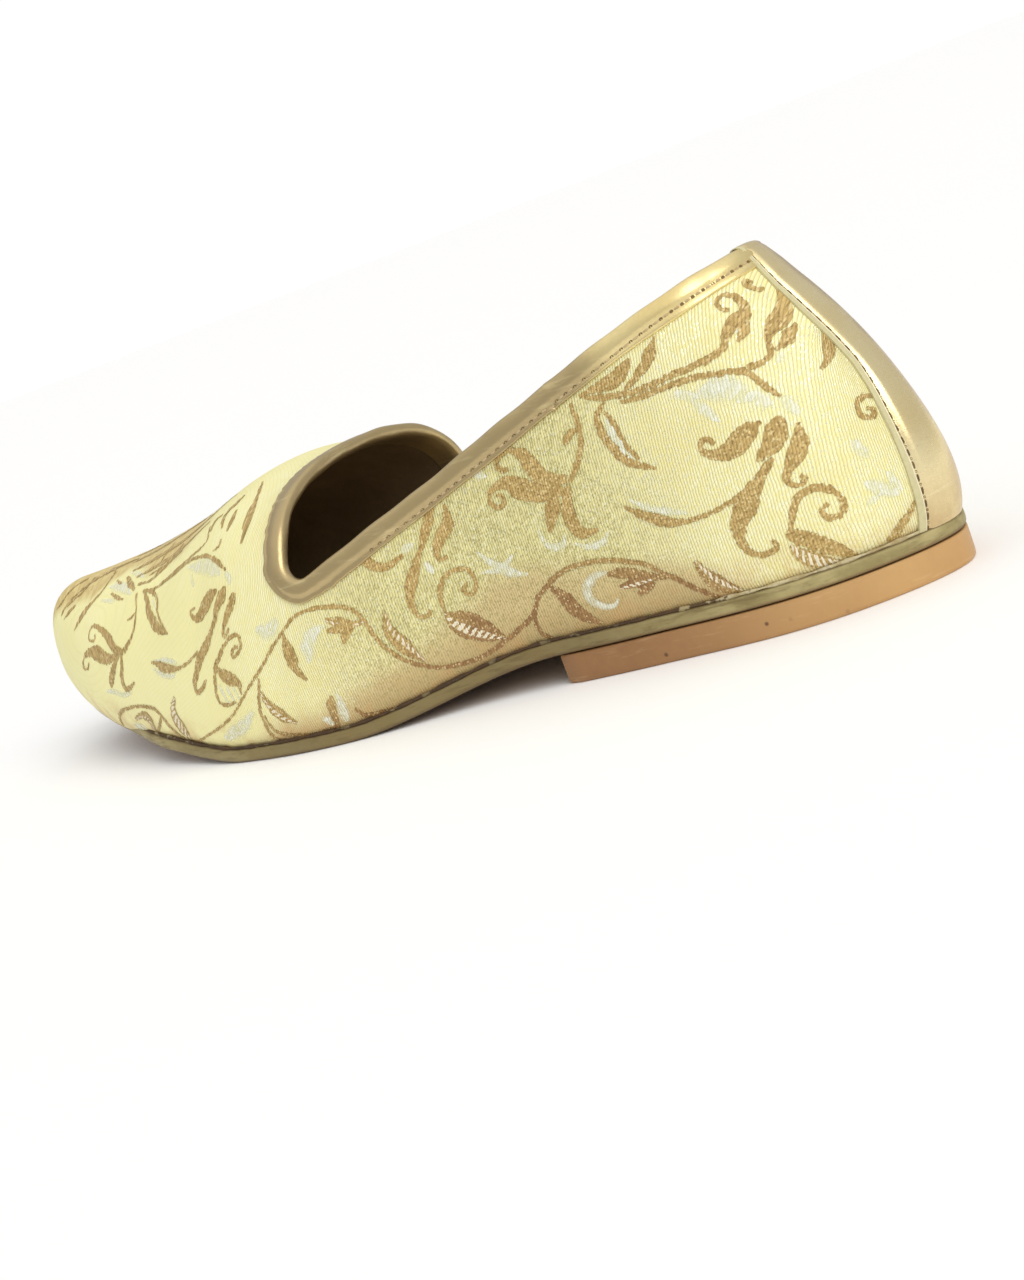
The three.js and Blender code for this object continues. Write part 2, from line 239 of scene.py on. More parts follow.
def collar_edge(side, step):
    """The edge on the skin as (place, t), evenly spaced, from the heel to the throat's middle."""
    places, levels = [], []
    t = np.linspace(0.05, 1, 801)
    for place in np.linspace(0, 5.2, 261):
        line = skin(place, side, t)
        gap = line[:, 2] - np.interp(bowed(line), TOP_EDGE[:, 0], TOP_EDGE[:, 1])
        k = np.flatnonzero((gap[:-1] < 0) & (gap[1:] >= 0))
        if len(k) == 0:
            continue
        k = k[0]
        level = t[k] - gap[k] * (t[k + 1] - t[k]) / (gap[k + 1] - gap[k])
        if bowed(skin(place, side, level)) > TOP_EDGE[-1, 0]:
            break
        places.append(place)
        levels.append(level)
    q = np.array([places[-1], levels[-1]])
    for goal in CORNER:
        for _ in range(8):
            def miss(v):
                point = skin(v[0], side, v[1])
                return np.array([bowed(point), point[2]]) - goal

            m = miss(q)
            slopes = np.stack([(miss(q + [1e-4, 0]) - m) / 1e-4, (miss(q + [0, 1e-4]) - m) / 1e-4], -1)
            q = q + np.clip(np.linalg.solve(slopes, -m), -0.1, 0.1)
        places.append(q[0])
        levels.append(q[1])
    place = places[-1]
    for level in np.linspace(levels[-1], 1, 120)[1:]:
        for _ in range(8):
            m = bowed(skin(place, side, level)) - THROAT_X
            slope = (bowed(skin(place + 1e-4, side, level)) - THROAT_X - m) / 1e-4
            place -= np.clip(m / slope, -0.1, 0.1)
        places.append(place)
        levels.append(level)
    points = skin(np.array(places), side, np.array(levels))
    run = lengths(points)
    even = np.linspace(0, run[-1], int(run[-1] / step) + 1)
    return np.interp(even, run, places), np.interp(even, run, levels)


EDGE_STEP = 0.7
EDGE = {side: collar_edge(side, EDGE_STEP) for side in (1, -1)}


def local_axes(place, side, t):
    """Changes of the skin point per unit of place and of t."""
    e = 1e-3
    dp = (skin(np.clip(place + e, 0, TIP_RIB), side, t) - skin(np.clip(place - e, 0, TIP_RIB), side, t))
    dp /= (np.clip(place + e, 0, TIP_RIB) - np.clip(place - e, 0, TIP_RIB))[..., None]
    dt = (skin(place, side, np.clip(t + e, 0, 1)) - skin(place, side, np.clip(t - e, 0, 1)))
    dt /= (np.clip(t + e, 0, 1) - np.clip(t - e, 0, 1))[..., None]
    return dp, dt


def walk(place, side, t, step):
    """Moves along the skin by a small 3D step."""
    dp, dt = local_axes(place, side, t)
    pp, pt, tt = (dp * dp).sum(-1), (dp * dt).sum(-1), (dt * dt).sum(-1)
    a, b = (dp * step).sum(-1), (dt * step).sum(-1)
    det = pp * tt - pt * pt + 1e-9
    return place + (a * tt - b * pt) / det, t + (b * pp - a * pt) / det


def stride(place, side, t, step):
    """A walk that stops at the ends of the skin."""
    place, t = walk(place, side, t, step)
    return np.clip(place, 0, TIP_RIB), np.clip(t, 0, 1)


# ---------------------------------------------------------------- weave coordinates
# The ribs turn round the heel about one line, and fan out over the toe from another.
HEEL_CENTRE, HEEL_ROUND = 14.0, 17.0
FAN_X, FAN_Z, FAN_RADIUS = 205.0, -12.0, 46.0


def weave(point):
    """Where the cloth's ribs run: u across the ribs and v along them, in millimetres."""
    x, y, z = point[..., 0], point[..., 1], point[..., 2]
    turn = np.arctan2(HEEL_CENTRE - x, np.abs(y) + 0.5)
    back = -HEEL_ROUND * turn
    lean = np.arctan2(x - FAN_X, z - FAN_Z)
    front = FAN_X - HEEL_CENTRE + FAN_RADIUS * lean
    u = np.where(x < HEEL_CENTRE, back, np.where(x > FAN_X, front, x - HEEL_CENTRE))
    share = np.clip((x - 90) / 90, 0, 1)
    return np.stack([u, z + (0.3 + 0.6 * share) * np.abs(y)], -1)


# ---------------------------------------------------------------- mesh helpers
def to_row(points):
    return (np.asarray(points) - SHIFT) * MM


def select_only(obj):
    for other in bpy.context.selected_objects:
        other.select_set(False)
    obj.select_set(True)
    bpy.context.view_layer.objects.active = obj


def make(name, points, faces, uvs=None, layers=None, smooth=40):
    """A mesh object from points in the last's frame. uvs and layers hold one value a vertex."""
    mesh = bpy.data.meshes.new(name)
    mesh.from_pydata(to_row(points).tolist(), [], [list(map(int, f)) for f in faces])
    mesh.update()
    loops = np.empty(len(mesh.loops), np.int32)
    mesh.loops.foreach_get("vertex_index", loops)
    for key, values in (uvs or {}).items():
        layer = mesh.uv_layers.new(name=key)
        layer.data.foreach_set("uv", np.asarray(values, np.float32)[loops].ravel())
    for key, values in (layers or {}).items():
        layer = mesh.attributes.new(key, "FLOAT", "POINT")
        layer.data.foreach_set("value", np.asarray(values, np.float32))
    obj = bpy.data.objects.new(name, mesh)
    bpy.context.scene.collection.objects.link(obj)
    select_only(obj)
    if smooth:
        bpy.ops.object.shade_smooth_by_angle(angle=math.radians(smooth))
    return obj


def weld(obj, distance=0.02, recalc=False):
    """Joins vertices that share a place, and turns the faces out if asked."""
    select_only(obj)
    bpy.ops.object.mode_set(mode="EDIT")
    bpy.ops.mesh.select_all(action="SELECT")
    bpy.ops.mesh.remove_doubles(threshold=distance * MM)
    if recalc:
        bpy.ops.mesh.normals_make_consistent(inside=False)
    bpy.ops.object.mode_set(mode="OBJECT")


def only_used(points, faces, maps, layers):
    """Lists of parts joined, without the points that no face uses."""
    points, faces = np.vstack(points), np.vstack(faces)
    used = np.unique(faces)
    renumber = np.zeros(len(points), int)
    renumber[used] = np.arange(len(used))
    maps = {key: np.vstack(parts)[used] for key, parts in maps.items()}
    layers = {key: np.concatenate(parts)[used] for key, parts in layers.items()}
    return points[used], renumber[faces], maps, layers


def quads(rows, cols, loop_rows=False, loop_cols=False, flip=False):
    """Faces of a grid of rows x cols points."""
    i = np.arange(rows if loop_rows else rows - 1)
    j = np.arange(cols if loop_cols else cols - 1)
    i, j = [v.ravel() for v in np.meshgrid(i, j, indexing="ij")]
    i2, j2 = (i + 1) % rows, (j + 1) % cols
    f = np.stack([i * cols + j, i * cols + j2, i2 * cols + j2, i2 * cols + j], -1)
    return f[:, ::-1] if flip else f


def smooth_line(points, step):
    """Catmull-Rom curve through rows of numbers, sampled about step apart in its first two."""
    p = np.asarray(points, float)
    if len(p) == 2:
        p = np.array([p[0], (p[0] + p[1]) / 2, p[1]])
    ends = np.vstack([2 * p[0] - p[1], p, 2 * p[-1] - p[-2]])
    ends[0, 2:], ends[-1, 2:] = p[0, 2:], p[-1, 2:]
    out = []
    for i in range(len(p) - 1):
        a, b, c, d = ends[i:i + 4]
        n = max(2, int(np.ceil(np.linalg.norm((c - b)[:2]) / step)))
        out += [through(a, b, c, d, t) for t in np.arange(n) / n]
    out.append(p[-1])
    return np.array(out)


# ---------------------------------------------------------------- where the cloth lies
OPENING = np.vstack([[-60.0, TOP_EDGE[0, 1]], TOP_EDGE, CORNER, [THROAT_X, 140.0]])


def past_edge(point):
    """How far a skin point lies outside the foot opening, measured from the side; negative inside it."""
    q = np.stack([bowed(point), point[..., 2]], -1)[..., None, :]
    a, b = OPENING[:-1], OPENING[1:]
    run = b - a
    t = np.clip(((q - a) * run).sum(-1) / ((run * run).sum(-1) + 1e-9), 0, 1)
    away = q - (a + t[..., None] * run)
    far = np.linalg.norm(away, axis=-1)
    k = far.argmin(-1)
    away_x, away_y = (np.take_along_axis(away[..., i], k[..., None], -1)[..., 0] for i in (0, 1))
    cross = run[k, 0] * away_y - run[k, 1] * away_x
    return np.where(cross > 0, -1, 1) * far.min(-1)


# Soft folds and dents: (a, h) points, depth (minus stands out), width, side of the shoe.
FOLDS = [
    ([(150, 33), (139, 24), (130, 12)], 0.45, 4.5, 1),
    ([(160, 30), (165, 18), (166, 6)], 0.35, 5.0, 1),
    ([(186, 44), (188, 32), (197, 22)], 0.4, 6.0, 1),
    ([(120, 36), (104, 24), (88, 17)], 0.35, 6.0, 1),
    ([(48, 1), (70, 12), (95, 17), (126, 9)], -0.3, 5.0, 1),
    ([(60, 50), (48, 34), (44, 18)], 0.3, 7.0, 1),
    ([(26, 66), (22, 46), (20, 24)], -0.25, 6.0, 1),
    ([(236, 42), (244, 28), (246, 12)], 0.3, 6.0, 1),
    ([(150, 33), (141, 22), (128, 12)], 0.45, 4.5, -1),
    ([(164, 30), (168, 16), (166, 5)], 0.35, 5.0, -1),
    ([(190, 42), (196, 28), (206, 18)], 0.4, 6.0, -1),
    ([(112, 36), (96, 22), (80, 14)], 0.35, 6.0, -1),
    ([(58, 52), (46, 34), (40, 16)], 0.3, 7.0, -1),
    ([(214, 58), (216, 46), (212, 34)], 0.3, 7.0, 1),
]


def fold_lines():
    lines = []
    for points, depth, width, side in FOLDS:
        path = smooth_line(points, 4.0)
        place, sides, t = on_skin(path[:, 0], path[:, 1], side)
        lines.append((skin(place, sides, t), depth, width))
    return lines


FOLD_LINES = fold_lines()


def sunk(point):
    """Depth of the soft folds at points of the skin."""
    total = np.zeros(point.shape[:-1])
    for line, depth, width in FOLD_LINES:
        a, b = line[:-1], line[1:]
        run = b - a
        length = (run * run).sum(-1)
        q = point[..., None, :]
        t = np.clip(((q - a) * run).sum(-1) / length, 0, 1)
        far = np.linalg.norm(q - (a + t[..., None] * run), axis=-1)
        k = far.argmin(-1)
        near = far.min(-1)
        along = (k + np.take_along_axis(t, k[..., None], -1)[..., 0]) / len(a)
        total += depth * np.exp(-((near / width) ** 2)) * np.sin(np.pi * (0.08 + 0.84 * along))
    return total


WRAP_START, WRAP_RUN, WRAP_IN, WRAP_DOWN = 206, 26, 1.2, 2.6
SOLE_DRAWN_IN = 3.0
TUCK, TUCK_HEIGHT = 0.5, 1.1


def toe_wrap(x):
    """How far the upper's lower edge has come down over the sole, 0 behind the ball to 1 at the toe."""
    q = np.clip((np.asarray(x, float) - WRAP_START) / WRAP_RUN, 0, 1)
    return q * q * (3 - 2 * q)


def cloth(place, side, t, lift=0.0):
    """Point of the brocade's outer face, lift above it."""
    point = skin(place, side, t)
    normal = skin_normal(place, side, t)
    height = point[..., 2] - tread(seat(place, side)[..., 0]) - SOLE_THICKNESS
    tuck = TUCK * np.exp(-((height / TUCK_HEIGHT) ** 2))
    wrap = toe_wrap(seat(place, side)[..., 0]) * np.exp(-((np.maximum(height, 0) / 3) ** 2))
    inward, down = outward(place, side) * (-WRAP_IN * wrap)[..., None], (-WRAP_DOWN * wrap)[..., None]
    shift = np.concatenate([inward, down], -1)
    return point + shift + normal * (lift - sunk(point) - tuck)[..., None]


# Cream twill patch low on the waist: (a, h) of its upper edge.
TAN_EDGE = np.array([
    (44, -2), (48, 0), (52, 5), (60, 9), (70, 12), (80, 14), (88, 15), (95, 17), (103, 17),
    (110, 13), (118, 12), (126, 9), (134, 10), (142, 8), (150, 5), (160, 3), (170, 2), (182, -2),
])

# Tan weave over the ridge of the vamp: (a, h) of its lower edge.
RIDGE_EDGE = np.array([
    (182, 66), (192, 56), (202, 50), (214, 45.5), (227, 42.5), (240, 44), (252, 43), (260, 37),
    (268, 30), (280, 27), (292, 23), (300, 17),
])


CLEAR_OF_EDGE = 1.3


def band(values, start, width):
    """0 at start and below, 1 from width past it."""
    return np.clip((values - start) / width, 0, 1)


def build_skin(name, columns, rows, inside=False):
    """Both sides of the upper as one sheet, cut out round the foot opening; inside makes the lining."""
    parts, faces, uv, spot, start = [], [], [], [], 0
    layers = {"tan": [], "ridge": [], "dull": [], "low": [], "toe": []}
    stations = np.interp(np.linspace(0, ROUND[-1], columns), ROUND, STATIONS)
    for side in (1, -1):
        high = np.interp(stations, STATIONS, CLIMB[side])
        a = np.interp(stations, STATIONS, ROUND)
        q = np.linspace(0, 1, rows) ** 1.06
        place, _, t = on_skin(a[:, None], high[:, None] * q[None], side)
        base = skin(place, side, t)
        keep = past_edge(base) > CLEAR_OF_EDGE
        point = base - skin_normal(place, side, t) * WALL if inside else cloth(place, side, t)
        grid = quads(columns, rows, flip=(side < 0) != inside)
        keep = keep.ravel()
        grid = grid[keep[grid].all(1)]
        faces.append(grid + start)
        start += columns * rows
        parts.append(point.reshape(-1, 3))
        uv.append(weave(base).reshape(-1, 2))
        h = high[:, None] * q[None]
        wide = np.broadcast_to(a[:, None], h.shape)
        spot.append(np.stack([wide, h], -1).reshape(-1, 2))
        rim = np.interp(wide, TAN_EDGE[:, 0], TAN_EDGE[:, 1])
        layers["tan"].append(np.clip((rim - h) / 11 + 0.5, 0, 1).ravel())
        over = np.interp(wide, RIDGE_EDGE[:, 0], RIDGE_EDGE[:, 1])
        layers["ridge"].append((np.clip((h - over) / 8 + 0.35, 0, 1) * band(wide, 180, 36)).ravel())
        layers["toe"].append(band(wide, 150, 45).ravel())
        layers["dull"].append((band(wide, 48, 26) * band(-wide, -156, 20)).ravel())
        layers["low"].append(np.clip(1 - h / 9, 0, 1).ravel())
    obj = make(name, *only_used(parts, faces, {"weave": uv, "cloth": spot}, layers))
    weld(obj, 0.03)
    return obj


# ---------------------------------------------------------------- the woven figures
# Each figure is a stroke of (a, h, width) on the cloth. SOLID is bronze, LEFT and RIGHT have that
# half hatched in cream, OPEN is hatched all over inside a bronze outline, SILVER is a pale patch.
SOLID, LEFT, RIGHT, OPEN, SILVER = "solid", "left", "right", "open", "silver"
HATCHING = {LEFT: 1.0, RIGHT: 1.0, OPEN: 2.0}


def vine(width, *points):
    """A stroke of one width with drawn-out ends."""
    last = len(points) - 1
    return (SOLID, [(a, h, width * (0.55 if i in (0, last) else 1)) for i, (a, h) in enumerate(points)])


def patch(a, h, long, short, turn=0.0):
    """A pale oval, long and short its whole lengths, turned from the level."""
    c, s = math.cos(math.radians(turn)), math.sin(math.radians(turn))
    steps = np.linspace(-1, 1, 7)
    stroke = []
    for u in steps:
        width = max(0.4, short * math.sqrt(1 - u * u * 0.97))
        stroke.append((a + c * u * long / 2, h + s * u * long / 2, width))
    return (SILVER, stroke)


HEEL_FLOWER = [
    (SOLID, [(29.8, 33, 0.3), (33, 32, 3.6), (36.5, 30.3, 4.4), (40, 29.2, 3.2), (43.3, 29.8, 1.6),
         (44.3, 31.3, 1.3), (43.5, 32.9, 1.2), (42, 32.8, 1.1), (41.3, 31.5, 1)]),
    (SOLID, [(25.4, 33, 1), (25.8, 32.2, 2.4), (27.6, 30.2, 4.6), (30, 28, 4), (32.8, 26.6, 2.4),
         (34.6, 25.4, 0.6)]),
    (SOLID, [(22.4, 30.4, 0.8), (24, 26.8, 3.4), (26.3, 24.5, 3.6), (29, 22.4, 2.2), (30.7, 20.3, 1.4),
         (30, 18.7, 1.1), (28.3, 18.3, 1.1), (27, 19.2, 1), (27.6, 20.2, 0.8)]),
    (SOLID, [(31.2, 25.2, 1), (32.6, 24.3, 1.5), (36.3, 21.5, 2.4), (40.3, 17.8, 4.5),
         (43.3, 14.6, 3.6), (44.4, 10.8, 2), (43.4, 8.2, 1.4), (41, 6.9, 1.2), (38.2, 7.6, 1.1),
         (38.6, 9.4, 0.9)]),
    (SOLID, [(65.5, 24.3, 0.6), (62, 21.4, 2), (58.7, 19.4, 2.3), (55.4, 18.2, 1.4), (51, 18, 0.9),
         (45.2, 18.8, 0.9), (40.5, 20.2, 1), (37.3, 22, 0.8)]),
    (SILVER, [(64, 25.6, 0.6), (60, 22.6, 1.6), (56, 20.8, 1.6), (52.5, 19.6, 0.6)]),
    vine(1.3, (32, 44.8), (27, 43.4), (25, 40.5), (23.9, 38.6), (22.6, 36.6)),
    patch(34, 41.4, 11, 4.6, 16), patch(27.4, 37.4, 6, 3, 40), patch(40, 38.6, 7, 2.2, 60),
    patch(21.7, 34.4, 5.4, 2.6, 70), patch(30.5, 38.4, 5, 1.6, 0),
]
HEEL_CURLS = [
    vine(1.5, (26, 17), (23.1, 15.2), (26.2, 16.7), (29.7, 16.2), (32.3, 13.8), (34.4, 10)),
    vine(1.3, (23.1, 15.2), (22.2, 12.3), (23.6, 10), (26.1, 9.9), (27, 11.7), (25.1, 12.9)),
    (SOLID, [(35.2, 10, 0.8), (34.2, 9, 2.8), (30.6, 6.1, 3.2), (27, 2.9, 2.6), (23.6, 0.3, 0.8)]),
    (OPEN, [(35.4, 7.2, 0.8), (34.2, 4.6, 2.8), (31.6, 2.2, 3.2), (27.2, 0, 1.4)]),
    (SOLID, [(8.6, 7, 0.8), (10.9, 5, 1.2), (14, 2.8, 1.8), (16.6, 0.4, 2)]),
    patch(14, 11.9, 7.4, 2.8, 42), patch(11, 12.4, 5, 1.8, 80), patch(16.6, 10.4, 4, 1.4, -20),
    vine(1.1, (4.9, 30), (6.2, 30.9), (7.9, 30.3), (9.2, 28.4), (8.9, 26.7), (7.3, 26.3), (6.3, 27.4),
         (7.5, 28.3)),
    (SOLID, [(3.6, 47, 0.7), (5, 43.2, 2.8), (7.6, 40.8, 1.6), (9.9, 39.4, 0.6)]),
    patch(13.6, 21, 5, 2.2, 75),
]
HEEL_TOP = [
    (SOLID, [(20.4, 57.6, 0.8), (22.8, 58.2, 0.9), (22.6, 60.2, 0.9), (18.9, 61.4, 1),
         (15.9, 60.9, 1.3), (14.7, 58.9, 1.8), (16.7, 56, 2.6), (21.2, 54.8, 3), (25.9, 52.7, 2.2),
         (28.4, 50.2, 1.4), (32, 48.9, 1.4), (36, 48, 1.5)]),
    (SOLID, [(17.2, 54, 0.6), (20.4, 52.5, 2.3), (24.4, 50.2, 0.7)]),
    (SOLID, [(3, 60.2, 0.8), (4.9, 56.2, 3.2), (8.1, 53.5, 4.3), (12.6, 51.7, 3), (16.2, 49.2, 1.5),
         (17.9, 46, 1.2), (21.5, 44.7, 1.2), (26.1, 44.2, 1.3)]),
    (SOLID, [(6.6, 50.9, 0.6), (10.6, 48.6, 2.8), (16.2, 46.3, 0.7)]),
    (SOLID, [(5.6, 61, 0.6), (7.2, 61.2, 1.2), (8.2, 62.2, 1.2), (8.6, 63.3, 0.6)]),
    vine(1, (6.6, 63.2), (7.9, 64.2), (9.2, 63), (8.6, 61.9)),
    patch(22, 52.2, 3, 1.6, 60), patch(16.6, 44.6, 4, 1.4, -30),
]
COLLAR_VINES = [
    vine(1.25, (33.4, 48.8), (38.4, 48), (44.2, 47.5), (47.9, 47), (52.7, 46.7), (56.4, 46.9),
         (61.3, 47.5), (65.3, 48.8)),
    vine(1.2, (26.6, 44.2), (33.9, 45), (39.9, 45.7), (46.4, 45.6), (52, 45.2), (57, 45.4)),
    patch(35.6, 42.4, 11, 3.4, -6), patch(42.5, 42.8, 5, 2.4, 30),
    (SOLID, [(43.6, 56.4, 0.6), (44.7, 54.9, 1.4), (46.3, 53, 2.6), (48.6, 51, 2), (52.2, 48.9, 1.4),
         (55.9, 46.8, 1)]),
    (SOLID, [(51.2, 53.6, 0.6), (51.9, 52.8, 1.6), (54.7, 51, 3.1), (57.9, 50, 3), (62.1, 49.6, 1.6),
         (66.1, 49.1, 0.8)]),
    (SOLID, [(60.6, 46.4, 0.8), (63.6, 44, 1.4), (63.9, 40.4, 1.8), (62.6, 36.4, 1.9), (60.4, 33, 1.7),
         (55.2, 30.2, 0.7)]),
    (SOLID, [(61.6, 44.6, 0.6), (60.6, 42.4, 1), (60, 39.2, 0.9), (59.4, 36, 0.9), (58, 33, 0.9)]),
    patch(61.3, 38.6, 8.5, 2.6, 82), patch(60.6, 35.2, 5, 2, 60),
]
SECOND_FLOWER = [
    vine(1.2, (68.8, 48.2), (68.7, 44.4), (69.3, 40.4), (71.2, 37.2), (73.7, 34.4), (75.6, 32.4)),
    (SOLID, [(69.7, 42.8, 0.7), (71.8, 41.9, 1.7), (73.9, 40.5, 0.7)]),
    (SOLID, [(76, 33, 1.8), (81, 34.9, 3.4), (82.6, 37.6, 3.8), (83.7, 40.7, 3), (85.6, 42.2, 1.4),
         (87, 42.8, 0.8)]),
    vine(1.1, (87, 42.4), (89.4, 41.9), (90.6, 40.4), (89.8, 38.8), (88.2, 38.9)),
    (SOLID, [(76.6, 31, 1), (78.2, 31.2, 2), (83.5, 32.3, 4.2), (87.3, 34.1, 4.6), (89.6, 36.1, 3),
         (93, 35.8, 1.5), (95, 34.8, 1.2)]),
    vine(1.1, (95, 34.8), (95.4, 32.8), (94, 31.4), (92.3, 32), (92, 33.6), (93.4, 34.2)),
    (SOLID, [(79.4, 30.8, 0.8), (81.2, 28.6, 3.4), (83, 26, 2.6), (84.3, 23.3, 0.9)]),
    (SOLID, [(76.2, 32, 1), (77.9, 28.6, 2.6), (78.5, 25.9, 3.2), (78.3, 22.7, 3), (76.6, 21.1, 2),
         (73.4, 21.4, 0.9)]),
    (SILVER, [(86.8, 24.5, 0.6), (86.6, 21.8, 1.3), (84.8, 20, 1.7), (82.4, 20.3, 1.2),
         (81.4, 21.8, 0.6)]),
    (SILVER, [(79.8, 19.8, 0.6), (78, 18.5, 1.2), (75.5, 18.1, 1.5), (73, 18.7, 1.2),
         (71.6, 20.3, 0.6)]), patch(96.5, 40, 6, 2, 30),
]
LONG_VINE = [
    vine(1.0, (53.5, 0.5), (56, 2.5), (58.5, 4.5), (60.5, 6.5), (63, 8.5), (65.5, 11), (68.5, 12.5),
         (72.5, 14), (77.5, 15), (82.5, 15), (87, 14),
         (90, 12.5), (93.5, 10.5), (96.5, 7), (100, 5.3), (105, 3.7), (110.5, 2.5), (115.7, 2.4),
         (122.5, 4), (127, 6.3), (131, 9.5), (134, 13.3),
         (136, 17), (138, 23), (141, 26.3), (145, 28), (149.5, 29)),
    (SOLID, [(146, 28.3, 0.8), (149.5, 29, 0.8), (154, 28.5, 0.7), (157, 26.8, 0.7), (160, 24.8, 0.65),
         (162.5, 23.2, 0.65), (166.5, 20, 0.65), (170, 17.5, 0.65),
             (174, 15, 0.6), (178.5, 12, 0.6), (183.5, 9, 0.6), (189.5, 6.5, 0.6), (196.5, 4, 0.6),
         (206, 0.6, 0.6)]),
    vine(0.9, (96.5, 7), (97, 4), (96, 1.5), (94, 0)),
    (SOLID, [(90.4, 12.8, 0.8), (87.5, 8.6, 3.2), (85.7, 4.7, 3), (81.3, 1.2, 0.9)]),
    (SOLID, [(60.6, 7.4, 0.9), (64, 8, 1), (67.5, 9.3, 2), (72, 11, 2.4), (75.5, 11.6, 0.8)]),
    (LEFT, [(66, 8.2, 1.1), (70, 8.3, 2.4), (74, 8, 0.8)]),
    (SOLID, [(66, 7.6, 1), (68.4, 6.4, 2.1), (70.6, 5.6, 0.8)]),
    (SILVER, [(75.2, 12, 0.7), (78.5, 11.8, 1.6), (81.4, 9.8, 2.1), (81.7, 7, 1.9), (79.5, 4.9, 1.5),
         (76.8, 4.6, 1), (75.6, 5.8, 0.6)]),
    (LEFT, [(55.5, 9.5, 0.8), (54.2, 6, 2.8), (52, 3.2, 3.2), (48.4, 0.6, 1)]),
]
CURL_AND_LEAF = [
    vine(1.05, (109, 18.8), (110.6, 17.6), (109.6, 16.2), (107.6, 16.8), (106.8, 18.8), (108, 21.5),
         (112, 22.6), (115, 21.5), (117, 18.5), (117.2, 14.6)),
    (RIGHT, [(117.4, 15, 0.8), (115.6, 12.6, 4.6), (112.4, 9.7, 6.4), (108.8, 6.6, 4.4),
         (105.6, 4, 0.8)]),
    (SOLID, [(110.5, 37, 0.7), (113, 35, 2.4), (116, 32, 1.9), (118.3, 29.4, 1.1), (120.5, 27, 2.3),
         (122.8, 24.3, 2.8), (124.5, 21.2, 1.8), (124, 17.3, 1.1), (121.8, 16.1, 1), (120.5, 17.1, 0.9)]),
    (SOLID, [(107, 36.4, 0.7), (108.3, 32.3, 3), (111.7, 30.2, 2.7), (113.8, 28, 1.6), (113.5, 26, 1.1),
         (111.5, 25.7, 0.9)]),
    (LEFT, [(131.9, 21.6, 0.8), (132.1, 17, 3), (129.8, 12.2, 3.7), (126.6, 7.4, 0.8)]),
    (SOLID, [(135, 35.4, 0.8), (133.5, 34.4, 2.2), (130.5, 31.6, 2.1), (127.5, 30.4, 1.6),
         (122.5, 30.8, 0.8)]),
    (SILVER, [(103.8, 24, 0.6), (101.4, 20.8, 1.5), (98.4, 18, 2.4), (95.4, 16.4, 1.2), (93.6, 16, 0.6)]),
    (SILVER, [(104.4, 19.4, 0.6), (100.6, 18.8, 1.4), (97.4, 19.6, 1.2), (95.4, 20.8, 0.6)]),
    patch(137, 35.2, 4, 3, 20), patch(121, 31.8, 4, 1.8, 0), patch(117, 25.4, 3.4, 1.6, 70),
]
WAIST_LEAVES = [
    (LEFT, [(137.3, 21.7, 0.9), (140.4, 22.2, 1.4), (143.4, 23.6, 2.6), (146.8, 25.6, 0.8)]),
    (SOLID, [(140.6, 22, 1), (144, 22.6, 2.1), (147.2, 23, 0.8)]),
    (SOLID, [(140.6, 21.8, 1), (143, 20.6, 2), (144, 18.9, 0.8)]),
    (SILVER, [(147.5, 24.5, 1), (151, 23.5, 2.8), (153.5, 20.5, 3.4), (154, 17.5, 1.2)]),
    (SOLID, [(158.5, 25.5, 0.7), (158.5, 22.5, 2.6), (158.5, 19.5, 3.3), (158.5, 17, 2.4),
         (156.5, 13.5, 0.7)]),
    (SOLID, [(152, 8.5, 0.7), (153, 6.5, 2.2), (153.5, 4, 1.9), (154, 0.5, 0.7)]),
    (SILVER, [(150.5, 9, 0.8), (150.5, 6, 2), (151, 3, 2.6), (151, 1.5, 0.8)]),
    (SILVER, [(157, 3.5, 0.9), (155.5, 3, 2.3), (155, 1.5, 0.8)]),
    (SILVER, [(191, 3, 1.5), (186, 4.5, 3.3), (181, 6, 3), (176, 9, 1.1)]),
    (SILVER, [(166, 28, 1.2), (164, 27, 3.4), (161.5, 27, 3.4), (159, 29, 1.6)]),
    (RIGHT, [(171, 13.5, 0.8), (170.5, 10.5, 1.8), (169, 8, 3.2), (167, 6, 2.8), (164.5, 4, 0.7)]),
    vine(0.9, (170, 16.5), (171, 14.5), (173, 10.5), (174, 7.5), (174, 4), (173, 1), (170, 0.3)),
    vine(0.8, (173, 7.5), (172.5, 4), (170, 2), (166, 1), (161, 0.3), (156.5, 0.6), (154, 1)),
    vine(1.1, (147.5, 4), (146, 1.6), (142.8, 0.9), (138.7, 0.5)),
]
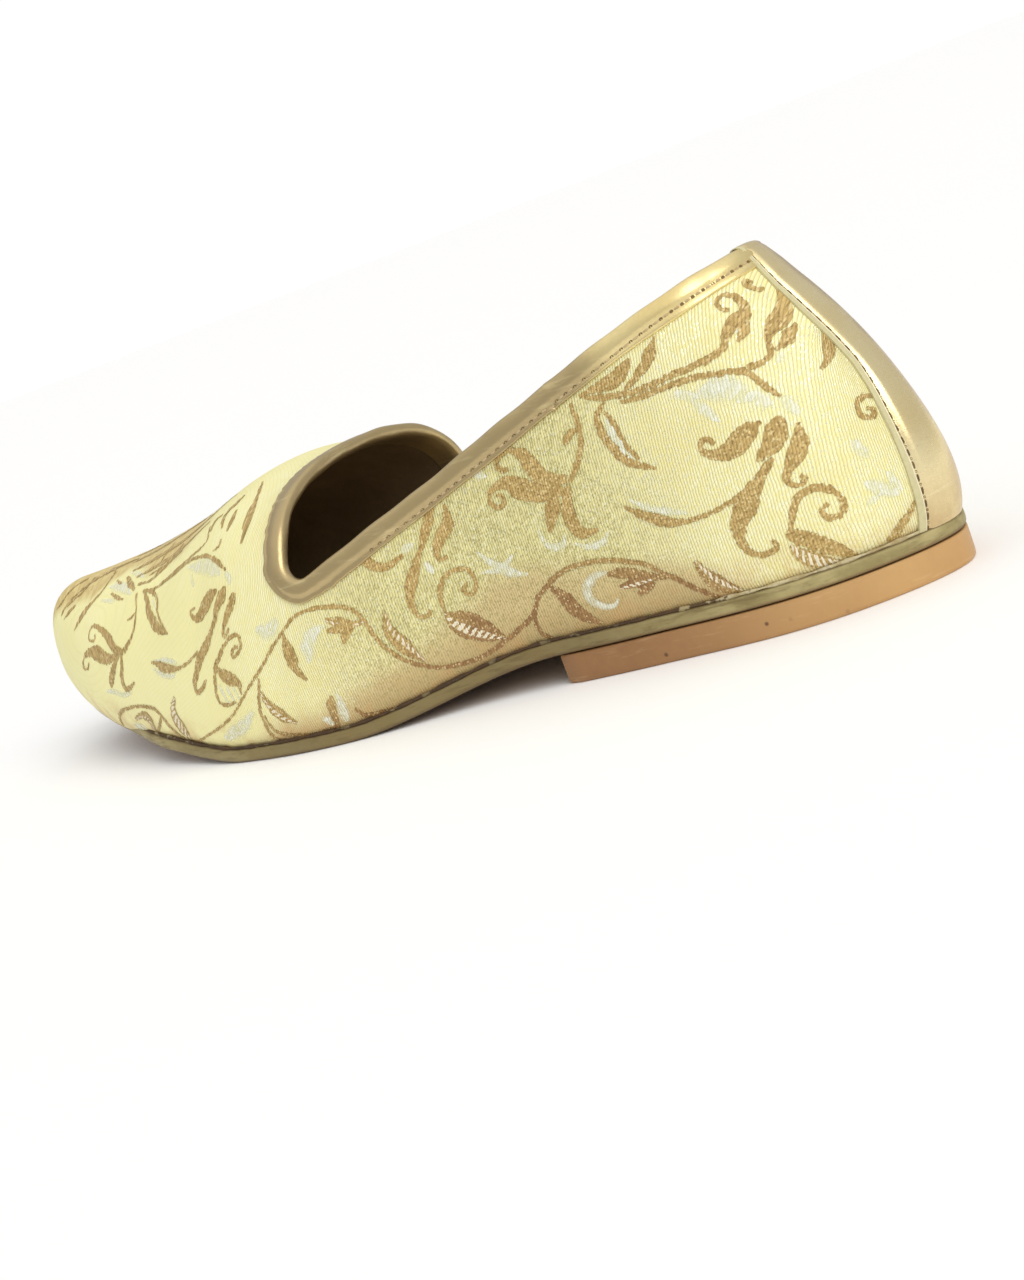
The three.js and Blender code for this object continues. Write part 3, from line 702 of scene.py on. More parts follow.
FRONT_FLOWER = [
    (SOLID, [(177.5, 39, 0.7), (180.5, 38, 3.2), (184, 35.5, 3.7), (187, 33.5, 2.3), (189.5, 34, 1),
         (190, 35.5, 0.8), (188, 36, 0.7)]),
    (SOLID, [(174, 39.5, 0.8), (175.5, 37.5, 3.2), (178, 35, 2.3), (179.5, 32, 1.4), (182, 29.5, 1.4),
         (184.5, 27, 2.2), (188.5, 24, 2.6),
             (191.5, 20.5, 1.9), (194, 17.5, 1.4), (194.5, 15, 1.1), (191, 16.5, 1), (188.5, 18.5, 0.7)]),
    (SOLID, [(171, 37.5, 1.1), (172, 35.5, 2.2), (174, 33, 2.1), (176, 30.5, 1.4), (177, 29, 0.9),
         (177, 27.5, 0.8), (174.5, 29.5, 0.6)]),
    (SOLID, [(189, 25.5, 0.6), (195, 22.5, 0.7), (200, 21, 0.9), (203.5, 20.5, 1.9), (208.5, 20.5, 2.6),
         (211, 21, 1.4), (214.5, 21, 0.6)]),
    (SILVER, [(213, 21.5, 0.7), (206.5, 22.5, 1.2), (202, 22.5, 1.4), (200, 22, 0.7)]),
    (SILVER, [(214, 19.5, 0.7), (210, 18.5, 1.5), (204.5, 18.5, 1.2), (202, 19.5, 0.7)]),
    (SOLID, [(173, 25, 0.8), (175, 24.5, 0.8), (176, 22.5, 0.7), (173.5, 23.5, 0.7), (172, 25, 0.7),
         (172, 27.5, 0.8), (174.5, 27.5, 0.9), (177.5, 26, 0.9),
             (180.5, 23.5, 1.1), (183.5, 21, 1.3), (185, 18.5, 0.9), (186.5, 15, 0.9),
         (186.5, 12.5, 0.9), (184, 11.5, 0.8), (180.5, 12, 0.6)]),
    (SOLID, [(183, 21, 1.1), (181.5, 19, 3.1), (179, 17.5, 3.6), (177, 16.5, 2), (177.5, 13.5, 0.6)]),
    (SILVER, [(184, 17, 0.7), (184, 15, 1.2), (183.5, 12.5, 1), (182.5, 12, 0.7)]),
    (SILVER, [(181.5, 16, 0.7), (181.5, 14.5, 1.2), (181, 12.5, 1), (180.5, 11.5, 0.7)]),
    (SILVER, [(179.5, 15.5, 0.7), (179, 14.5, 1.1), (179, 12.5, 0.7)]),
]
FRONT_LEAVES = [
    (SOLID, [(206, 0.5, 0.8), (211, 0.5, 0.9), (214.5, 2, 1.1), (216.5, 4, 1.2), (218, 6, 1.2),
         (220, 8, 1.1), (224.5, 8.2, 0.9), (230.5, 7.5, 0.8), (238.5, 5.5, 0.8), (245, 3, 0.7),
         (249, 0.5, 0.6)]),
    (OPEN, [(206.5, 13, 0.7), (209.5, 9.8, 2.2), (210.5, 6.5, 4.4), (209.5, 3.5, 4.2),
         (208.5, 0.8, 0.9)]),
    (SILVER, [(210, 8, 0.8), (210.5, 5, 1.3), (210.2, 1.5, 0.7)]),
    (RIGHT, [(234.5, 3.5, 0.7), (230, 5, 1.6), (226.5, 5, 3.2), (226, 3, 2.4), (226.5, 1, 0.8)]),
    vine(0.8, (218.5, 7.5), (220, 5), (225.5, 1), (230, 0.5)),
    (SILVER, [(238.5, 1.4, 0.9), (235.5, 1.5, 2.4), (232.5, 1.8, 1.2), (231.5, 1.2, 0.7)]),
]
TOE_FLOWER = [
    (SOLID, [(229.5, 37.5, 0.7), (226, 33.5, 0.7), (225, 29, 0.7), (227, 25.5, 1.1), (231, 22, 1.6)]),
    vine(0.7, (226, 32.5), (228, 31), (230.5, 30)),
    (SOLID, [(231.5, 21.5, 1.2), (237.5, 22, 2.4), (242, 24, 2.4), (249, 25.5, 1.5), (254.5, 25.5, 1),
         (256.5, 23.5, 0.8), (255.5, 21.5, 0.9), (251.5, 22, 0.8), (252, 23.5, 0.6)]),
    (SOLID, [(234.5, 20.5, 1), (242, 18.5, 2.8), (249, 19, 4), (254, 18.5, 2.4), (258.5, 16.5, 1.1),
         (260, 13.5, 0.9), (256.5, 13.5, 0.7), (255, 15.5, 0.6)]),
    (SOLID, [(234, 21, 1.2), (236.5, 18.5, 1.6), (239.5, 15, 2.6), (241.5, 12, 2), (241.5, 11, 0.6)]),
    (SOLID, [(233, 21, 1.2), (233, 18, 1.4), (234, 14.5, 1.8), (233.5, 12, 1.6), (230.5, 12.5, 1.1),
         (227, 14.5, 0.6)]),
    (SILVER, [(245.5, 9.5, 0.9), (241, 10, 1.5), (235, 10, 1.5), (230.5, 11.5, 0.9)]),
]
TOE_LEAVES = [
    (SOLID, [(225, 39, 0.8), (219.5, 36.3, 1.5), (216, 33.6, 2.2), (211.5, 31.2, 2.9), (207.5, 30, 2.2),
         (202.5, 29.5, 0.6)]),
    (SOLID, [(224.5, 39, 0.6), (216.5, 39, 1.3), (211.5, 37, 0.8), (210, 34.5, 0.7), (207, 32, 0.8),
         (203, 29.5, 0.6)]),
    (SILVER, [(216.4, 37.2, 0.4), (213.4, 36, 0.6), (211, 34.6, 0.4)]),
    (SOLID, [(246.5, 41.5, 0.8), (239, 39.5, 1.8), (233, 38.5, 0.9)]),
    (SOLID, [(251, 35.5, 0.6), (245, 35, 1), (239, 35, 0.6)]),
    (SOLID, [(254.5, 39.5, 0.6), (249.5, 39, 0.8), (247.5, 39, 0.6)]),
    (SILVER, [(256.5, 37, 0.8), (250.5, 38, 3.2), (242, 38, 2.8), (234.5, 37, 0.8)]),
    (SILVER, [(257, 32.5, 0.7), (248.5, 33.5, 1.4), (245, 33.5, 0.7)]),
    (SILVER, [(246, 43, 0.8), (237.5, 43, 1.8), (230, 42.5, 0.8)]),
    (SOLID, [(273, 42, 0.6), (265, 40, 0.9), (261.5, 35.5, 1), (264, 31, 1.5), (267.5, 27, 2.6),
         (269.5, 24, 1.8), (271.5, 21, 0.6)]),
    (SOLID, [(286.5, 36.5, 0.8), (283, 32, 1.1), (286, 28.5, 1.2), (291, 24.5, 1.2), (291.5, 21.5, 0.6)]),
    (SOLID, [(280.5, 27, 0.7), (284.5, 24, 1.6), (287, 21.5, 0.6)]),
    (SOLID, [(293, 35, 0.6), (296, 32, 1), (297, 28, 1), (296.5, 25, 1), (298.5, 22, 0.6)]),
    vine(0.8, (266, 46), (270, 43.5), (278, 41.5)),
]
INSTEP_LEAVES = [
    (SOLID, [(174, 43.5, 0.6), (178.5, 46.5, 1.2), (182, 48, 1), (186, 49, 0.9), (192, 49, 0.8),
         (197, 47.5, 0.8), (203, 45, 0.8), (210.5, 42.5, 1), (217, 40, 0.9), (224.5, 38.5, 0.6)]),
    vine(0.8, (179, 52.5), (179, 50.5), (181.5, 49.5)),
    (SOLID, [(190, 58.5, 0.6), (187.5, 54, 0.7), (189, 52, 0.7), (193.5, 50, 0.8), (202.5, 46, 1),
         (211, 42.5, 0.8)]),
    (SOLID, [(172.5, 66, 0.6), (171, 61.5, 1.9), (170, 56, 2.5), (169.5, 52.5, 1.4), (169.5, 49.5, 0.6)]),
    (SOLID, [(178, 61.5, 0.6), (177.5, 58, 1.7), (177.5, 54.5, 0.6)]),
    (SOLID, [(180, 67.5, 0.8), (181, 64.5, 1.8), (183, 62, 1.5), (183, 59.5, 1.2), (181, 56, 0.6)]),
    (SOLID, [(186, 61.5, 0.7), (188.5, 60, 1.3), (187.5, 56.5, 0.6)]),
    (SOLID, [(211.5, 54.5, 0.8), (213, 51, 1.9), (215.5, 47.5, 2.2), (220, 44, 1.4), (224, 41.5, 0.8),
         (232, 40, 0.8)]),
    (SOLID, [(225, 55, 0.6), (223.5, 51.5, 0.9), (223.5, 47.5, 0.9), (224.5, 45.5, 0.6)]),
    (SOLID, [(177, 73, 0.6), (174, 68.5, 0.8), (172, 64.5, 0.6)]),
    (SILVER, [(193.5, 47, 1), (188.5, 46.5, 2.9), (184, 46, 3.8), (178.5, 44, 2.9), (176, 43, 1)]),
    (SILVER, [(190.5, 45, 0.8), (189.5, 42.5, 1.2), (188.5, 41.5, 0.7)]),
    (SILVER, [(174.5, 43, 1.1), (172.5, 41, 1.9), (172.5, 39.5, 0.7)]),
]


RIDGE_BANDS = [
    (SOLID, [(190, 71, 0.7), (200, 63, 1.4), (212, 57, 2), (224, 51.5, 2), (236, 47, 1.6),
         (246, 43.5, 0.7)]),
    (SOLID, [(200, 72, 0.7), (210, 66.5, 1.4), (222, 61, 1.8), (234, 55, 2.2), (246, 50, 1.8),
         (257, 46, 0.7)]),
    (SOLID, [(194, 61, 0.7), (204, 55, 1.4), (216, 49.5, 1.7), (228, 45, 1.2), (237, 42, 0.7)]),
    (SOLID, [(214, 70, 0.7), (224, 66, 1.4), (236, 61, 2), (248, 56, 1.8), (260, 51, 1.2),
         (269, 47.5, 0.7)]),
    (SOLID, [(256, 48, 0.7), (266, 45, 1.3), (276, 40, 1.9), (284, 34, 1.4), (290, 27, 0.7)]),
    vine(0.9, (206, 52), (216, 47.4), (226, 43.2)),
    (SILVER, [(196, 66, 0.7), (208, 59.5, 1.1), (220, 54, 0.7)]),
]


def moved(figures, da, dh, turn=0.0, scale=1.0, about=(0, 0)):
    """The same figures elsewhere on the cloth, turned and scaled about a point and then moved."""
    c, s = math.cos(math.radians(turn)) * scale, math.sin(math.radians(turn)) * scale
    out = []
    for kind, points in figures:
        new = []
        for a, h, w in points:
            x, y = a - about[0], h - about[1]
            new.append((about[0] + c * x - s * y + da, about[1] + s * x + c * y + dh, w * scale))
        out.append((kind, new))
    return out


def figure_mesh(name, figures, pale, lift):
    """All the figures of one thread colour as one thin sheet over the cloth."""
    points, faces, layers = [], [], {"weave": [], "figure": [], "kind": [], "size": [], "deep": []}
    start = 0
    for index, (kind, side, stroke) in enumerate(figures):
        if (kind == SILVER) != pale:
            continue
        path = smooth_line(stroke, 0.9)
        path[:, 2] = np.maximum(path[:, 2] * (1.45 if pale else 1.05), 0.55)
        place, sides, t = on_skin(path[:, 0], np.maximum(path[:, 1], 0.0), side)
        middle = skin(place, sides, t)
        tangent = np.gradient(middle, axis=0)
        tangent /= np.linalg.norm(tangent, axis=1, keepdims=True) + 1e-9
        normal = skin_normal(place, sides, t)
        across = np.cross(normal, tangent) * (-1 if kind == RIGHT else 1)
        run = lengths(middle)
        steps = np.array([-1.25, -0.625, 0, 0.625, 1.25])
        if path[:, 2].max() <= 2:
            steps = np.array([-1.3, 0, 1.3])
        rows, maps, own = [], [], []
        for c in steps:
            p, q = walk(place, sides, t, across * (c * path[:, 2] / 2)[:, None])
            over = q > 1
            q, s = np.where(over, 2 - q, q), np.where(over, -sides, sides)
            behind = p < 0
            p, s = np.abs(p), np.where(behind, -s, s)
            p, q = np.clip(p, 0, TIP_RIB), np.clip(q, -0.01, 1)
            base = skin(p, s, np.maximum(q, 0))
            rows.append(cloth(p, s, np.maximum(q, 0), lift + 0.004 * (index % 9)))
            maps.append((weave(base), (past_edge(base) > 0.8) & (q > 0) & (path[:, 1] > -0.4)))
            own.append(np.stack([np.full(len(run), c), run + 3.7 * index], -1))
        grid = np.stack(rows, 1)
        keep = np.stack([m[1] for m in maps], 1).ravel()
        cells = quads(*grid.shape[:2], flip=kind != RIGHT)
        cells = cells[keep[cells].all(1)]
        points.append(grid.reshape(-1, 3))
        faces.append(cells + start)
        start += grid.shape[0] * grid.shape[1]
        layers["weave"].append(np.stack([m[0] for m in maps], 1).reshape(-1, 2))
        layers["figure"].append(np.stack(own, 1).reshape(-1, 2))
        rim = np.interp(path[:, 0], TAN_EDGE[:, 0], TAN_EDGE[:, 1])
        layers["deep"].append(np.repeat(np.clip((rim - path[:, 1]) / 8 + 0.5, 0, 1), grid.shape[1]))
        layers["size"].append(np.repeat(np.maximum(path[:, 2], 0.5) / 2, grid.shape[1]))
        layers["kind"].append(np.full(grid.shape[0] * grid.shape[1], HATCHING.get(kind, 0.0)))
    maps = {key: layers.pop(key) for key in ("weave", "figure")}
    obj = make(name, *only_used(points, faces, maps, layers), smooth=80)
    obj.data.materials.append(MAT["silver" if pale else "bronze"])
    return obj


def all_figures():
    """The outer side's figures, and moved copies of them for the inner side, each with its side."""
    outer = (
        HEEL_FLOWER + HEEL_CURLS + HEEL_TOP + COLLAR_VINES + SECOND_FLOWER + LONG_VINE + CURL_AND_LEAF
        + WAIST_LEAVES + FRONT_FLOWER + FRONT_LEAVES + TOE_FLOWER + TOE_LEAVES + INSTEP_LEAVES + RIDGE_BANDS
    )
    inner = (
        moved(HEEL_FLOWER, 14, 4, 8, 1, (34, 26))
        + moved(HEEL_CURLS, -4, 1)
        + moved(HEEL_TOP, 4, -1)
        + moved(COLLAR_VINES, -2, 0)
        + moved(SECOND_FLOWER, 10, -3, -10, 1, (80, 34))
        + moved(LONG_VINE, -12, 1)
        + moved(CURL_AND_LEAF, 16, -2)
        + moved(WAIST_LEAVES, 8, 3)
        + moved(FRONT_FLOWER, -4, 1)
        + moved(FRONT_LEAVES, 4, 1)
        + moved(TOE_FLOWER, -6, -2)
        + moved(TOE_LEAVES, -6, -4)
        + moved(FRONT_FLOWER, 20, 27, 35, 1, (184, 26))
        + moved(TOE_FLOWER, -2, 24, 60, 0.9, (242, 20))
        + moved(HEEL_CURLS, 158, 30, 20, 1, (20, 20))
        + moved(RIDGE_BANDS, 6, 0)
    )
    return [(k, 1, s) for k, s in outer] + [(k, -1, s) for k, s in inner]


# ---------------------------------------------------------------- the collar ring
def ring_frame():
    """Samples right round the foot opening: place, side, t, point, normal, way off it, distance run."""
    near, far = EDGE[1], EDGE[-1]
    place = np.concatenate([near[0], far[0][::-1][1:-1]])
    t = np.concatenate([near[1], far[1][::-1][1:-1]])
    side = np.concatenate([np.ones(len(near[0])), -np.ones(len(far[0]) - 2)])
    point, normal = skin(place, side, t), skin_normal(place, side, t)
    tangent = np.roll(point, -1, 0) - np.roll(point, 1, 0)
    tangent /= np.linalg.norm(tangent, axis=1, keepdims=True)
    for _ in range(3):
        normal = np.roll(normal, 1, 0) * 0.25 + normal * 0.5 + np.roll(normal, -1, 0) * 0.25
    normal -= tangent * (normal * tangent).sum(1, keepdims=True)
    normal /= np.linalg.norm(normal, axis=1, keepdims=True)
    off = np.cross(tangent, normal)
    off *= np.sign((past_edge(point + off) - past_edge(point - off)))[:, None]
    run = lengths(point)
    return place, side, t, point, normal, off, run


RING = ring_frame()
# The row of the binding, counted from its raw edge, that the stitches lie on.
STITCH_ROW = 6


def flange_width():
    """Width of the binding outside the shoe, for each sample of RING."""
    point = RING[3]
    x, y = point[:, 0], np.abs(point[:, 1])
    wide = np.interp(x, [0, 20, 60, 105, 125, 140], [5.0, 5.0, 4.9, 4.6, 4.5, 4.2])
    return wide + 0.22 * np.clip((x - 122) / 8, 0, 1) * (np.sin(y * 1.9) + 0.6 * np.sin(y * 3.1 + x))


def stitch_mesh(name, points, normals, tangents, length, width, height, material):
    """A row of small thread humps, one a point."""
    ring, rise = 6, 3
    shape = []
    for j in range(-rise, rise + 1):
        s = j / rise
        r = math.sqrt(max(0.0, 1 - abs(s) ** 2.6))
        for i in range(ring):
            w = math.pi * i / (ring - 1)
            up = math.sin(w) * height * (0.25 + 0.75 * r)
            shape.append((s * length / 2, math.cos(w) * width / 2 * r, up))
    shape = np.array(shape)
    n = len(shape)
    sides = np.cross(normals, tangents)
    jitter = rng.normal(0, 0.05, (len(points), 2))
    verts = []
    for p, nn, tt, ss, jj in zip(points, normals, tangents, sides, jitter):
        turn = tt + ss * jj[0] * 1.2
        verts.append(p + shape[:, :1] * turn + shape[:, 1:2] * ss + shape[:, 2:] * nn)
    grid = quads(2 * rise + 1, ring, flip=True)
    faces = np.vstack([grid + i * n for i in range(len(points))])
    obj = make(name, np.vstack(verts), faces, smooth=60)
    obj.data.materials.append(material)
    return obj


def disc_mesh(name, points, normals, tangents, long, short, material):
    """Needle holes as small shallow discs, coloured darker as painted shade in the holes."""
    corners, lift, depth = 8, 0.06, 0.12
    turn = np.linspace(0, 2 * np.pi, corners + 1)[:-1, None]
    verts, faces = [], []
    sides = np.cross(normals, tangents)
    for i, (p, nn, tt, ss) in enumerate(zip(points, normals, tangents, sides)):
        verts.append((p + nn * lift - nn * depth)[None])
        verts.append(p + np.cos(turn) * tt * long / 2 + np.sin(turn) * ss * short / 2 + nn * lift)
        first = i * (corners + 1)
        faces += [(first, first + 1 + k, first + 1 + (k + 1) % corners) for k in range(corners)]
    obj = make(name, np.vstack(verts), faces, smooth=0)
    obj.data.materials.append(material)
    return obj


def build_binding():
    """Leather folded over the collar edge: the outer flange from its raw edge, the roll, the inner flap."""
    place, side, t, point, normal, off, run = RING
    wide = flange_width()
    n = len(place)
    ripple = 0.12 * np.sin(run / 9.0) + 0.08 * np.sin(run / 3.7 + 1.0)
    fractions = np.array([1.0, 0.999, 0.96, 0.86, 0.74, 0.64, 0.59, 0.54, 0.44, 0.32])
    heights = np.array([0.02, 0.5, 0.62, 0.62, 0.54, 0.4, 0.32, 0.42, 0.76, 0.9])
    rows = []
    x = point[:, 0]
    row_at = np.interp(x, [18, 60], [0.6, 0.77])
    flat = np.interp(x, [20, 60, 112, 126], [0, 0.35, 0.6, 1.0])
    params = []
    p, q, last = place.copy(), t.copy(), np.zeros(n)
    for f in fractions[::-1]:
        share = np.where(f < 0.59, f * row_at / 0.59, 1 - (1 - f) * (1 - row_at) / 0.41)
        goal = share * (wide + ripple * (f > 0.8))
        gap = goal - last
        for _ in range(3):
            p, q = stride(p, side, q, off * (gap / 3)[:, None])
        last = goal
        params.append((p.copy(), q.copy()))
    for (p, q), h in zip(params[::-1], heights):
        level = h if h < 0.1 else h * (1 - flat) + max(0.5, min(h, 0.62) if h < 0.7 else h) * flat
        rows.append(cloth(p, side, q) + skin_normal(p, side, q) * (level * np.ones(n))[:, None])
    centre = point - normal * (WALL / 2)
    radius = WALL / 2 + np.interp(x, [10, 45, 120, 140], [0.6, 0.6, 0.6, 0.75])
    squeeze = 0.06 * np.sin(run / 5.3) + 0.05 * np.sin(run / 2.1)
    for angle in np.radians([8, 30, 52, 74, 96, 118, 140, 162, 180]):
        r = radius * (1 + squeeze)
        inward = np.sin(angle) * r * np.interp(x, [10, 50], [0.66, 0.92])
        rows.append(centre + normal * (np.cos(angle) * r)[:, None] - off * inward[:, None])
    p, q = place.copy(), t.copy()
    for gap, h in ((1.6, 0.9), (1.6, 0.7), (1.6, 0.65), (1.4, 0.6), (0.05, 0.0)):
        p, q = stride(p, side, q, off * gap)
        rows.append(skin(p, side, q) - skin_normal(p, side, q) * (WALL + h))
    grid = np.stack(rows, 1)
    k = grid.shape[1]
    faces = quads(n, k, loop_rows=True)
    # Painted shade: the gold is coloured duller from x = 50 mm on towards the toe, a little less on the roll
    # and inner flap, for the darker reflection it shows there.
    painted_shade = np.interp(x, [50, 64], [0, 1])[:, None] * np.ones(k)
    painted_shade = painted_shade * np.where(np.arange(k) > 12, 0.8, 1)
    layers = {"painted_shade": painted_shade.ravel(), "raw": np.zeros(n * k), "line": np.zeros(n * k)}
    obj = make("collar_binding_skin", grid.reshape(-1, 3), faces, None, layers, smooth=70)
    obj.data.materials.append(MAT["binding"])
    weld(obj, 0.02, recalc=True)
    p, q = params[::-1][STITCH_ROW]
    line = cloth(p, side, q) + skin_normal(p, side, q) * (0.36 + 0.14 * flat)[:, None]
    return obj, line, skin_normal(p, side, q)


def spaced(points, normals, pitch, closed):
    """Points, normals and tangents along a line, a pitch apart."""
    closed_points = np.vstack([points, points[:1]]) if closed else points
    run = lengths(closed_points)
    count = int(run[-1] / pitch)
    goal = np.arange(count) * run[-1] / count

    def pick(v):
        v = np.vstack([v, v[:1]]) if closed else v
        return np.stack([np.interp(goal, run, v[:, i]) for i in range(3)], -1)

    p, n = pick(points), pick(normals)
    t = unit(pick(np.gradient(points, axis=0)))
    n = unit(n - t * (n * t).sum(1, keepdims=True))
    return p, n, t


# ---------------------------------------------------------------- the heel strip
# The edge on the little-toe side: (height, y).
STRIP_EDGE = np.array([
    (8, 9.4), (14, 9.4), (21, 9.4), (27, 9.0), (31, 8.6), (36, 7.9), (42, 6.7),
    (47, 5.8), (54, 5.6), (60, 5.6), (66, 5.2), (70, 4.2), (73, 2.9), (80, 1.0),
])


def heel_point(y, z):
    """(place, side, t) of the skin point at a given y and z near the back of the heel."""
    y, z = np.broadcast_arrays(np.asarray(y, float), np.asarray(z, float))
    side = np.where(y >= 0, 1.0, -1.0)
    place = np.abs(y) / 15.0 + 0.01
    t = np.clip((z - 10) / 90, 0.02, 0.8)
    for _ in range(20):
        here = skin(place, side, t)
        e = 1e-3
        dp = (skin(place + e, side, t) - here) / e
        dt = (skin(place, side, t + e) - here) / e
        ry, rz = y - here[..., 1], z - here[..., 2]
        det = dp[..., 1] * dt[..., 2] - dp[..., 2] * dt[..., 1]
        det = np.where(np.abs(det) < 1e-6, 1e-6, det)
        place = np.clip(place + np.clip((ry * dt[..., 2] - rz * dt[..., 1]) / det, -0.3, 0.3), 0, 3)
        t = np.clip(t + np.clip((dp[..., 1] * rz - dp[..., 2] * ry) / det, -0.1, 0.1), 0, 0.98)
    return place, side, t


STRIP_FOOT, STRIP_TOP = 10.6, 75.0


def strip_width(z):
    return np.interp(z, [10, STRIP_TOP], [17.6, 15.8])


def rim_height(y):
    """Height of the collar edge at a given y near the heel."""
    out = np.zeros(len(y))
    for side in (1, -1):
        p, t = EDGE[side]
        line = skin(p, side, t)[:60]
        order = np.argsort(np.abs(line[:, 1]))
        mine = (y >= 0) == (side > 0)
        out[mine] = np.interp(np.abs(y[mine]), np.abs(line[order, 1]), line[order, 2])
    return out


def build_strip():
    """The backstay: across it near edge, crown and far edge; up it the face, the fold and the inner flap."""
    near = np.array([0.0, 0.05, 0.5, 1.05, 1.2, 1.4, 1.65, 1.95, 2.4, 3.2])
    rise = np.array([0.02, 0.5, 0.6, 0.56, 0.62, 0.42, 0.36, 0.5, 0.82, 0.98])
    across = np.concatenate([near / 17, np.linspace(0.26, 0.74, 7), 1 - near[::-1] / 17])
    lift = np.concatenate([rise, [1.04, 1.08, 1.1, 1.1, 1.1, 1.08, 1.04], rise[::-1]])
    # The first mask is the raw edge; the second is the row on the small crest just past it, painted near
    # white as a highlight.
    bare, painted_highlight = near < 1.1, np.abs(near - 1.2) < 0.1
    raw = np.concatenate([bare, np.zeros(7), bare[::-1]]).astype(float)
    line = np.concatenate([painted_highlight, np.zeros(7), painted_highlight[::-1]]).astype(float)
    levels = np.linspace(0, 1, 60)
    columns = []
    fold_rows = 9
    inner = np.array([1.4, 3.0, 5.0, 7.0, 9.0, 10.2])
    for f, up in zip(across, lift):
        y_top = np.interp(STRIP_TOP, STRIP_EDGE[:, 0], STRIP_EDGE[:, 1]) - f * strip_width(STRIP_TOP)
        top = float(rim_height(np.array([y_top]))[0])
        z = STRIP_FOOT + (top - STRIP_FOOT) * levels
        wobble = 0.12 * np.sin(z / 7.0 + 3 * (f > 0.5)) * (abs(f - 0.5) > 0.49)
        y = np.interp(z, STRIP_EDGE[:, 0], STRIP_EDGE[:, 1]) - f * strip_width(z) + wobble
        place, side, t = heel_point(y, z)
        normal = skin_normal(place, side, t)
        point = skin(place, side, t)
        over = np.clip((z - (top - 7.5)) / 3.5, 0, 1)
        over = over * over * (3 - 2 * over)
        swell = 0.1 * np.sin(z / 13.0) + 0.06 * np.sin(z / 5.0 + 4 * f)
        thick = up * (1 + 0.1 * swell) + over * 0.15 * min(1.0, up * 1.4) + (swell if up > 0.5 else 0)
        outer = point + normal * thick[:, None]
        rows = [outer[:-1]]
        n_top, p_top = normal[-1], point[-1]
        n_flat = np.array([n_top[0], n_top[1], 0.0])
        n_flat /= np.linalg.norm(n_flat)
        centre = p_top - n_flat * WALL / 2
        radius = WALL / 2 + 0.6 + 0.5 * min(1.0, up * 1.4)
        arc = np.radians(np.linspace(6, 174, fold_rows))[:, None]
        level = np.array([0, 0, 1.0])
        rows.append(centre + np.cos(arc) * n_flat * radius + np.sin(arc) * level * radius * 0.62)
        place, side, t = heel_point(np.full(len(inner), y[-1]), top - inner)
        inset = WALL + 0.55 + 0.75 * min(1.0, up * 1.2)
        rows.append(skin(place, side, t) - skin_normal(place, side, t) * inset)
        columns.append(np.vstack(rows))
    grid = np.stack(columns, 1)
    rows, cols = grid.shape[:2]
    z = grid[..., 2]
    c = np.broadcast_to(across, (rows, cols))
    # Painted shade: the strip is coloured duller over its far half and more so higher up, at its bottom,
    # towards its top and along its far edge.
    painted_shade = band(c, 0.45, 0.4) * np.clip((z - 20) / 30 + 0.45, 0, 1)
    painted_shade += band(z, 62, 12) * 0.2 + band(-z, -26, 14) * 0.5 + band(c, 0.8, 0.2) * 0.4
    layers = {
        "painted_shade": np.clip(painted_shade, 0, 1).ravel(),
        "raw": np.broadcast_to(raw, (rows, cols)).ravel(),
        "line": np.broadcast_to(line, (rows, cols)).ravel(),
    }
    faces = quads(rows, cols, flip=True)
    obj = make("heel_strip_skin", grid.reshape(-1, 3), faces, None, layers, smooth=60)
    obj.data.materials.append(MAT["strip"])
    weld(obj, 0.01, recalc=False)
    return obj, grid


# ---------------------------------------------------------------- sole, heel and seam
SOLE_COUNT = 260


def sole_ring(count):
    """Seat line right round the shoe, counter-clockwise from the heel along the little-toe side."""
    a = np.linspace(0, 1, count)
    rings = []
    for side in (1, -1):
        p = np.linspace(0, 10, 2001)
        line = seat(p, side)
        run = lengths(line)
        place = np.interp(a * run[-1], run, p)
        rings.append(place)
    place = np.concatenate([rings[0], rings[1][::-1][1:-1]])
    side = np.concatenate([np.ones(count), -np.ones(count - 2)])
    out = outward(place, side)
    for _ in range(4):
        out = np.roll(out, 1, 0) * 0.25 + out * 0.5 + np.roll(out, -1, 0) * 0.25
        out /= np.linalg.norm(out, axis=1, keepdims=True)
    return seat(place, side), out


def sole_outline():
    """The sole's edge, drawn in round the toe where the upper comes down over it."""
    foot, out = sole_ring(SOLE_COUNT)
    foot = foot - out * (SOLE_DRAWN_IN * toe_wrap(foot[:, 0]))[:, None]
    return foot, out, lengths(foot)


def build_sole_edge():
    """The painted edge: a slightly wavy band with eased corners, as (push outwards, level)."""
    foot, out, run = sole_outline()
    wave = 0.1 * np.sin(run / 11.0) + 0.07 * np.sin(run / 4.3 + 1.3)
    profile = [
        (-4.0, 1.0), (-0.6, 1.0), (0.35, 0.99), (0.85, 0.93), (1.12, 0.82), (1.2, 0.62),
        (1.2, 0.38), (1.12, 0.18), (0.8, 0.06), (0.3, 0.0), (-1.5, 0.0),
    ]
    rows, up = [], []
    under = tread(foot[:, 0])
    for push, level in profile:
        margin = push + (wave * (push > 0) * 0.5)
        rows.append(np.column_stack([foot + out * margin[:, None], under + level * SOLE_THICKNESS]))
        up.append(np.full(len(foot), level))
    grid = np.stack(rows, 1)
    n, k = grid.shape[:2]
    # Painted shade: the edge is coloured darker along the waist, less towards the toe, none at the heel.
    dim = np.interp(foot[:, 0], [40, 75, 150, 190, 215, 240], [0, 1, 1, 0.35, 0.1, 0.3])
    layers = {"up": np.stack(up, 1).ravel(), "painted_shade": np.repeat(dim, k)}
    faces = quads(n, k, loop_rows=True, flip=True)
    obj = make("outsole_edge", grid.reshape(-1, 3), faces, None, layers, smooth=60)
    obj.data.materials.append(MAT["edge"])
    weld(obj, 0.005, recalc=True)
    return obj, grid[:, -1]


